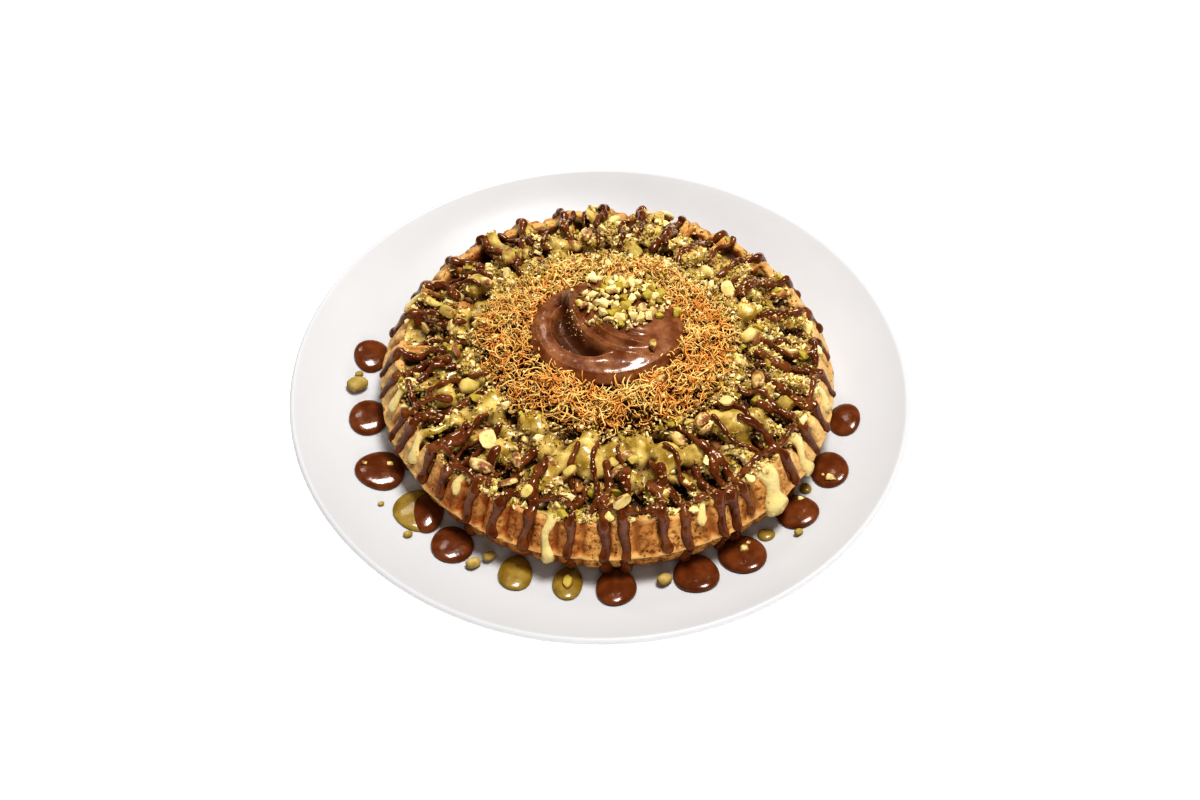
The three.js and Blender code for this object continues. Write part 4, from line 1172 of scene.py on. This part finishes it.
def chip(seed, corners=11, flatness=0.75):
    """A broken crumb: the hull of a few random corners. One side of it may have skin."""
    draw = np.random.default_rng(seed)
    raw = draw.normal(size=(corners, 3))
    raw /= np.linalg.norm(raw, axis=1)[:, None]
    raw *= draw.uniform(0.34, 0.56, (corners, 1)) * [1.15, 0.9, flatness]
    shape = bmesh.new()
    for corner in raw:
        shape.verts.new(corner)
    bmesh.ops.convex_hull(shape, input=shape.verts)
    loose = [v for v in shape.verts if not v.link_faces]
    bmesh.ops.delete(shape, geom=loose, context="VERTS")
    shape.verts.index_update()
    points = np.array([v.co for v in shape.verts])
    faces = [[v.index for v in f.verts] for f in shape.faces]
    shape.free()
    skin = smooth(0.12, 0.3, points @ draw.normal(0, 0.6, 3))
    return points, faces, skin


def nut(seed, half=True):
    """A pistachio kernel 1 long. A halved one has a flat cut face."""
    points, faces = ball((0, 0, 0), (1, 1, 1), 9, 12, 0.3, seed)
    points = np.sign(points) * np.abs(points) ** 0.82 * (0.5, 0.33, 0.29)
    if half:
        points[:, 2] = np.maximum(points[:, 2], -0.04 + 0.05 * np.abs(points[:, 0]))
    skin = smooth(-0.35, 0.1, noise(*points.T * 3 + seed, 1.0, seed, 2)) * (points[:, 2] > -0.02)
    return points, faces, skin


def shelf(name, shapes, flat=True):
    """A collection of small shapes that the scattering picks from."""
    made = bpy.data.collections.new(name)
    for number, (points, faces, skin) in enumerate(shapes):
        piece = mesh_object(f"{name}_{number}", points, faces, skin=skin)
        bpy.context.scene.collection.objects.unlink(piece)
        made.objects.link(piece)
        if flat:
            piece.data.shade_flat()
    return made


strand_shapes = shelf("strand", [
    curl(s, 11 + 7 * chance(s), 0.2 + 0.45 * chance(s + 9)) for s in range(20)
], flat=False)
dust_shapes = shelf("dust", [chip(s, 7) for s in range(5)])
crumb_shapes = shelf("crumb", [chip(s + 20, 12) for s in range(8)])
chunk_shapes = shelf("chunk", [chip(s + 40, 18, 0.8) for s in range(8)])

# %% [markdown]
# ## Shredded pastry
# Curled strands lie on the nest's core in three layers, the upper ones looser and more tilted.
# They gather in clumps, thickest towards the outside, and thin out at the back, where nuts
# cover them.

# %% Shredded pastry
def from_swirl(x, y):
    """1 at the outline of the swirl, less inside it."""
    return np.hypot((x - SWIRL[0]) / SWIRL_X, (y - SWIRL[1]) / SWIRL_Y)


def nest_share(x, y, z):
    """1 over the nest's ring, less at its outer edge, 0 under the swirl."""
    radius, angle = polar(x, y)
    rear = smooth(0.2, 0.9, np.sin(angle))
    thick = 0.62 + 0.38 * smooth(-0.3, 0.25, noise(x, y, 0, 11, 71))
    thick = thick * (0.4 + 0.6 * smooth(-0.25, 0.1, noise(x, y, 0, 5.5, 72, 2)))
    outer = 1 - smooth(0.84 - 0.1 * rear, 0.97 - 0.08 * rear, radius / nest_edge(angle))
    return thick * smooth(0.86, 0.96, from_swirl(x, y)) * (1 - 0.4 * rear) * outer


nest_field = Field(3, nest)
scattered(nest, shredded_pastry, "shredded_pastry", nest_field, (1.0, 4.3),
          ("kataifi_under", nest_share, strand_shapes, 38, 0.8, 1.1, 0.4, 2.0, 0, 3),
          ("kataifi_pale", nest_share, strand_shapes, 48, 0.8, 1.2, 0.6, 3.6, 0, 5),
          ("kataifi_loose", nest_share, strand_shapes, 40, 0.85, 1.25, 0.9, 5.2, 0, 8))

# %% [markdown]
# ## Chopped pistachios on the cream
# Chopped nuts are of every size at once, so dust, crumbs and broken pieces are strewn in that
# order. They need a surface that has no undersides, so a thin cover is draped over the cream,
# the drizzle and the rim, carries them, and is taken away again.

# %% Chopped pistachios on the cream
def cover_shape():
    """A cloth of rings laid over the ground, from the waffle's edge in to the nest."""
    turns, rings = np.degrees(circle(420)), []
    for radius in np.arange(91.2, 46, -1.1):
        place = on_ring(turns, radius)
        rings.append(np.column_stack([place, [ground.height(x, y) for x, y in place]]))
    return np.concatenate(rings), grid_faces(len(rings), 420)


def bare(x, y):
    """The big smooth lumps at the front carry few crumbs."""
    lump = 0
    for *place, rise in LUMPS:
        lump = lump + mound(x, y, *place)
    for lobe_x, lobe_y, half in LOBES:
        lump = lump + 0.8 * mound(x, y, lobe_x, lobe_y, 0.8 * half, 0.8 * half)
    return np.clip(1 - 0.85 * lump, 0, 1)


def crumb_share(x, y, z):
    """Thick in patches, thin in the dark hollows and on the inner faces at the back."""
    radius, angle = polar(x, y)
    clear = 1.0
    for *place, depth in HOLLOWS:
        clear = clear * (1 - 0.9 * dent(x, y, *place))
    patches = smooth(-0.2, 0.25, noise(x, y, 0, 9, 51) + 0.2 * smooth(0.2, 0.9, np.cos(angle)))
    rear = smooth(0.1, 0.6, np.sin(angle)) * smooth(81, 84, radius)
    within = (1 - smooth(RIM, 91, radius)) * (0.3 + 0.7 * smooth(24, 29, z))
    within = within * smooth(48, 54, radius)
    return bare(x, y) * clear * (0.12 + 0.88 * patches) * within * (1 - 0.8 * rear)


def chunk_share(x, y, z):
    return crumb_share(x, y, z) > 0.25


cover = mesh_object("cover", *cover_shape())
ground = Ground(waffle, cream_piece, nest, drizzle)
upper_cover = mesh_object("upper_cover", *cover_shape())
scattered(cover, pistachio, "pistachio", topping, (-1.0, 1.8),
          ("pistachio_dust_cream", crumb_share, dust_shapes, 78, 0.7, 2.1, 3, 0.7, 0, 5),
          ("pistachio_crumbs", crumb_share, crumb_shapes, 18, 1.7, 3.8, 3, 0.9, 0, 6),
          ("pistachio_chunks", chunk_share, chunk_shapes, 3.4, 3.6, 6.4, 3, 1.0, 6.0, 7))
scattered(upper_cover, pistachio, "pistachio", None, None,
          ("pistachio_dust_drizzle", crumb_share, dust_shapes, 26, 0.8, 2.4, 3, 0.2, 0, 9))
bpy.data.objects.remove(cover)
bpy.data.objects.remove(upper_cover)

# %% [markdown]
# ## Chopped pistachios on the nest and the swirl
# On the nest the nuts fill the ring behind the swirl and run out to its sides. On the swirl
# they lie in one heap of pieces that keep a distance from each other, with finer crumbs between
# them.

# %% Chopped pistachios on the nest
def nest_dust_share(x, y, z):
    radius, angle = polar(x, y)
    back = smooth(-0.2, 0.8, np.sin(angle)) * 0.9
    rim = smooth(0.8, 1.0, radius / nest_edge(angle))
    return smooth(0.93, 1.03, from_swirl(x, y)) * np.clip(0.1 + back + 0.3 * rim, 0, 1)


def nest_crumb_share(x, y, z):
    return nest_dust_share(x, y, z) ** 2


def nest_chunk_share(x, y, z):
    """Broken pieces lie between the swirl and the back, where the heap runs out."""
    behind = np.exp(-(((x - 8) / 26) ** 2 + ((y - 38) / 13) ** 2) ** 2)
    rear = 0.25 * smooth(0, 0.6, np.sin(polar(x, y)[1]))
    return nest_dust_share(x, y, z) * np.clip(behind + rear, 0, 1)


scattered(nest, pistachio, "pistachio", nest_field, (0.6, 3.6),
          ("pistachio_dust_nest", nest_dust_share, dust_shapes, 90, 0.8, 2.2, 3, 6.0, 0, 12),
          ("pistachio_crumbs_nest", nest_crumb_share, crumb_shapes, 24, 1.6, 3.4, 3, 5.6, 0, 13),
          ("pistachio_chunks_nest", nest_chunk_share, chunk_shapes, 9, 3.0, 5.2, 3, 5.6, 3.2, 17))


# %% Heap on the swirl
def heap_share(x, y, z):
    far = np.hypot((x - SWIRL[0] - 6.5) / 22, (y - SWIRL[1] - 13) / 18.5)
    return 1 - smooth(0.6, 1.0, far + 0.25 * noise(x, y, 0, 6, 61))


def swirl_dust_share(x, y, z):
    far = np.hypot((x - SWIRL[0] + 9) / 14, (y - SWIRL[1] - 2) / 12)
    return 0.6 * (1 - smooth(0.5, 1.0, far)) + 0.35 * heap_share(x, y, z) + 0.06


scattered(swirl, pistachio, "pistachio", Field(2, swirl), (-0.8, 1.8),
          ("pistachio_heap", heap_share, chunk_shapes, 17, 3.0, 6.8, 3, 3.0, 2.5, 14),
          ("pistachio_heap_crumbs", heap_share, crumb_shapes, 30, 1.4, 3.0, 3, 1.4, 0, 15),
          ("pistachio_swirl_dust", swirl_dust_share, dust_shapes, 22, 0.6, 1.4, 3, 0.2, 0, 16))

# %% [markdown]
# ## Kernels
# Chance makes a good crumb and a poor kernel. The eye finds each whole nut, so every one that
# stands out in the photograph has its own place, and only its turn is left to chance.

# %% Kernels
# x, y, length
KERNELS = [
    (-55.2, -20.3, 10), (-45.5, -51, 10), (-33, -62, 8), (-13, -67, 7), (7, -66, 9), (10, -59, 7),
    (32, -50, 8), (43, -46, 8), (66, -22, 9), (48, 45, 8), (57, 36, 9), (59, 29, 8), (66.5, 4, 8),
    (16, 60, 8), (-6, 66, 7), (-12, 63, 8), (-41, 52, 9), (-33, 56, 8), (-66, 15, 8), (-62, -2, 7),
    (-50, 36, 7), (36, 60, 7), (-20, -62, 6), (52, -36, 7), (77.1, -23.4, 11), (-47.5, -63.1, 11),
    (-36.4, -70.8, 8), (-29, -76.3, 6), (6.7, -75, 11), (8.9, -84.5, 8), (-12, -68.4, 6),
    (24.5, -26.5, 8), (30.6, -41.3, 8), (41.5, -43.4, 8), (22.3, -12.7, 6), (8.8, 30.8, 9),
    (6.2, 85.9, 8), (-6, 78.4, 8), (-77.4, 16.2, 8), (63.4, 2.7, 8),
]
PLATE_NUTS = [
    (-51.1, -90.3, 7), (-44.9, -86.6, 6.2), (26.1, -97.9, 7.4), (-107.5, 3.4, 10.4),
    (-107.8, 10.6, 4), (-78.6, -76.8, 4.4), (-91.2, -61.2, 3), (81.6, -76.2, 4.6),
]


def turned(points, seed, tip):
    """Points turned about all three axes, mostly about the upright one."""
    spin, roll = 6.28 * chance(seed), 6.28 * chance(seed + 2)
    lean = tip * (chance(seed + 1) - 0.5)
    x, y, z = points.T
    y, z = y * math.cos(roll) - z * math.sin(roll), y * math.sin(roll) + z * math.cos(roll)
    x, z = x * math.cos(lean) - z * math.sin(lean), x * math.sin(lean) + z * math.cos(lean)
    x, y = x * math.cos(spin) - y * math.sin(spin), x * math.sin(spin) + y * math.cos(spin)
    return np.stack([x, y, z], 1)


def crumb_mesh(name, parts, **more):
    """Parts of (points, faces, skin, tone) as one mesh."""
    skin, tone = (np.concatenate([part[i] for part in parts]) for i in (2, 3))
    return mesh_object(name, *joined([part[:2] for part in parts]), skin=skin, tone=tone, **more)


def kernel_piece(name, places, nodes=()):
    """One mesh of kernels at (x, y, z, length), z being the height that they rest on."""
    parts = []
    for number, (x, y, z, length) in enumerate(places):
        points, faces, skin = nut(number + len(name), number % 3 > 0)
        points = turned(points, number * 5 + 40, 0.9) * length
        points += [x, y, z - points[:, 2].min() * 0.8]
        shade = 0.7 if nodes else 0.5 + 0.3 * chance(number + 77)
        parts.append((points, faces, skin, shade + 0.22 * noise(*points.T, 2.2, number, 2)))
    # low, which elsewhere carries painted shade, is a fixed darkening here: 0.42 on the plate, 0.14
    # on the cream.
    made = crumb_mesh(name, parts, low=0.42 if nodes else 0.14)
    finished(made, pistachio, "pistachio", *nodes)


ground = Ground(waffle, cream_piece, nest, drizzle, swirl)
kernel_piece("pistachio_kernels", [(x, y, ground.height(x, y), length) for x, y, length in KERNELS])
for number, (x, y, length) in enumerate(PLATE_NUTS, 1):
    rest = float(plate_top(math.hypot(x, y))) + 0.1
    kernel_piece(f"plate_kernel_{number}", [(x, y, rest, length)], (f"plate_nut_{number}",))

# %% [markdown]
# ## Drops on the plate
# Sauce that fell on the plate draws itself into a dome: steep at its foot, nearly flat on top,
# and never quite round. Each follows the plate's curve below it.

# %% Drops
# Angle, distance from the waffle's middle, half sizes, height
DROPS = {
    "chocolate_drop_1": (169.6, 108.7, 7.7, 9.2, 3.6),
    "chocolate_drop_2": (-171.3, 105.9, 8.3, 10.2, 3.8),
    "chocolate_drop_3": (-154.9, 106.9, 10.2, 10.8, 4),
    "chocolate_drop_4": (-138.6, 101.0, 7.4, 10.2, 4.0),
    "chocolate_drop_5": (-127.5, 105, 9, 9.2, 3.8),
    "cream_drop_1": (-111.1, 104.1, 7.2, 8.6, 3.2),
    "cream_drop_2": (-99.1, 103.2, 6.2, 8.2, 2.8),
    "chocolate_drop_6": (-88.3, 104.1, 8.1, 9.6, 3.8),
    "chocolate_drop_7": (-70, 104, 9.1, 10.2, 4),
    "chocolate_drop_8": (-58.2, 104, 9.8, 10.2, 4),
    "chocolate_drop_9": (-40.4, 103.2, 9.2, 9.2, 3.8),
    "chocolate_drop_10": (-25.7, 104.7, 8, 9.8, 3.8),
    "chocolate_drop_11": (-9.9, 105, 7, 8.8, 3.6),
    "cream_drop_3": (-50.1, 101.6, 3.6, 3.2, 1.8),
    "cream_drop_4": (-33, 99.6, 2.4, 3, 1.8),
    "cream_crescent": (-140.4, 103.2, 9.8, 11, 3.2),
}


def drop_shape(seed, degrees, distance, half_x, half_y, height):
    """A low dome with a steep foot and an uneven outline, following the plate."""
    middle, angle = on_ring(degrees, distance), circle(64)
    uneven = 1 + 0.03 * np.sin(2 * angle + seed) + 0.02 * np.sin(3 * angle + 2 * seed)
    dome = [(math.cos(t), 0.14 + 0.86 * math.sin(t)) for t in np.linspace(0.12, 1.55, 18)]
    rings = []
    for share, level in [(0.9, 0.0), (0.98, 0.05), (1.0, 0.14)] + dome:
        x = middle[0] + half_x * share * uneven * np.cos(angle)
        y = middle[1] + half_y * share * uneven * np.sin(angle)
        rings.append(np.stack([x, y, plate_top(np.hypot(x, y)) + 0.05 + height * level], 1))
    return capped(rings)


drops = []
for seed, (node, sizes) in enumerate(DROPS.items()):
    is_cream = node.startswith("cream")
    name = node.replace("drop", "pool").replace("crescent", "pool_5")
    drop = mesh_object(name, *drop_shape(seed, *sizes))
    finish, slot = (cream_pool, "pistachio_cream") if is_cream else (chocolate_pool, "chocolate")
    finished(drop, finish, slot, node)
    drops.append(drop)

# %% What lies on the drops
# Crumbs at x, y, length. The half kernel is rings of (share of its outline, height).
ON_DROPS = [
    (-100, -41.5, 2.6), (-89.4, -41, 3), (58.2, -84.5, 4.6), (60.5, -81.5, 2.4), (83.6, -59.4, 3.2),
    (97.1, -49.5, 4.6), (94, -47, 2),
]
HALF_KERNEL = [(0.9, 0.0), (1.0, 0.4), (0.98, 0.9), (0.86, 1.2), (0.78, 1.0), (0.5, 1.15),
               (0.04, 1.25)]
HALF_X, HALF_Y, HALF_WIDTH, HALF_LENGTH = -13, -99.8, 2.1, 3.6
CHIP_TONE, KERNEL_TONE = 0.55, 0.85

ground, parts = Ground(*drops), []
for number, (x, y, length) in enumerate(ON_DROPS):
    points, faces, skin = chip(number + 60, 14)
    points = points * length
    points = points + [x, y, ground.height(x, y) - points[:, 2].min() * 0.4]
    parts.append((points, faces, skin, np.full(len(skin), CHIP_TONE)))
angle, rings = circle(24), []
for share, level in HALF_KERNEL:
    across = HALF_WIDTH * share * np.cos(angle) * (1 - 0.25 * np.sin(angle) ** 2)
    along = HALF_LENGTH * share * np.sin(angle)
    rings.append(np.stack([across + HALF_X, along + HALF_Y, np.full(24, level)], 1))
points, faces = capped(rings)
parts.append((points + [0, 0, ground.height(HALF_X, HALF_Y) - 0.1], faces,
              np.repeat([2.5, 2.5, 2.5, 2.5, 0.2, 0, 0], 24), np.full(len(points), KERNEL_TONE)))
finished(crumb_mesh("drop_crumbs", parts), pistachio, "pistachio")

# %% [markdown]
# ## Camera, lights and floor
# The camera stands where the photograph was taken from. A small box above, a little behind and
# to the right, gives the crisp shadows between the crumbs. Two weak ones behind and at the left
# put highlights on the chocolate. A wide fill from the front keeps the side of the waffle
# readable, and is hidden from reflections. The floor glows a little, so that it stays white.

# %% Camera, lights and floor
LOOKING_DOWN = 49.07
scene = bpy.context.scene
camera = bpy.data.objects.new("camera", bpy.data.cameras.new("camera"))
camera.data.lens, camera.data.sensor_width = 45.0, 36.0
camera.data.shift_y = -0.0225
camera.data.clip_start = 0.01
camera.location = (0, -0.4299, 0.5157)
camera.rotation_euler = (math.radians(90 - LOOKING_DOWN), 0, 0)
scene.collection.objects.link(camera)
scene.camera = camera


def softbox(name, place, aim, size, power):
    light = bpy.data.lights.new(name, "AREA")
    light.shape, light.size, light.size_y, light.energy = "RECTANGLE", size[0], size[1], power
    lamp = bpy.data.objects.new(name, light)
    lamp.location = place
    lamp.rotation_euler = (Vector(aim) - Vector(place)).to_track_quat("-Z", "Y").to_euler()
    scene.collection.objects.link(lamp)
    return lamp


softbox("top_box", (0.19, 0.13, 1.1), (0, 0, 0.03), (0.36, 0.36), 11.5)
softbox("back_box", (-0.25, 0.75, 0.95), (0, 0, 0.03), (0.22, 0.22), 0.9)
softbox("left_box", (-0.8, 0.3, 0.9), (0, 0, 0.03), (0.6, 0.6), 0.25)
softbox("front_fill", (0.2, -1.3, 0.45), (0, 0, 0.02), (0.7, 0.4), 4.5).visible_glossy = False
world = bpy.data.worlds.new("studio")
scene.world = world
world.use_nodes = True
world.node_tree.nodes["Background"].inputs[0].default_value = (1, 1, 1, 1)
world.node_tree.nodes["Background"].inputs[1].default_value = 0.24
world.cycles_visibility.glossy = False

rings = [ring(circle(96), radius, -0.05) for radius in (3000, 1000, 300, 2)]
faces = [f[::-1] for f in grid_faces(4, 96)] + [[3 * 96 + j for j in range(96)]]
floor = mesh_object("floor", np.concatenate(rings), faces)
sheet = Finish("floor", {"Emission Strength": 0.6, "Emission Color": (1, 1, 1)})
white = sheet.mix(sheet.noise(60, 2), (0.86, 0.86, 0.86), (0.9, 0.9, 0.9))
floor.data.materials.append(sheet.surface(white, 0.8))
scene.view_settings.view_transform = "Standard"
scene.view_settings.look = "High Contrast"
scene.view_settings.exposure = 0.02
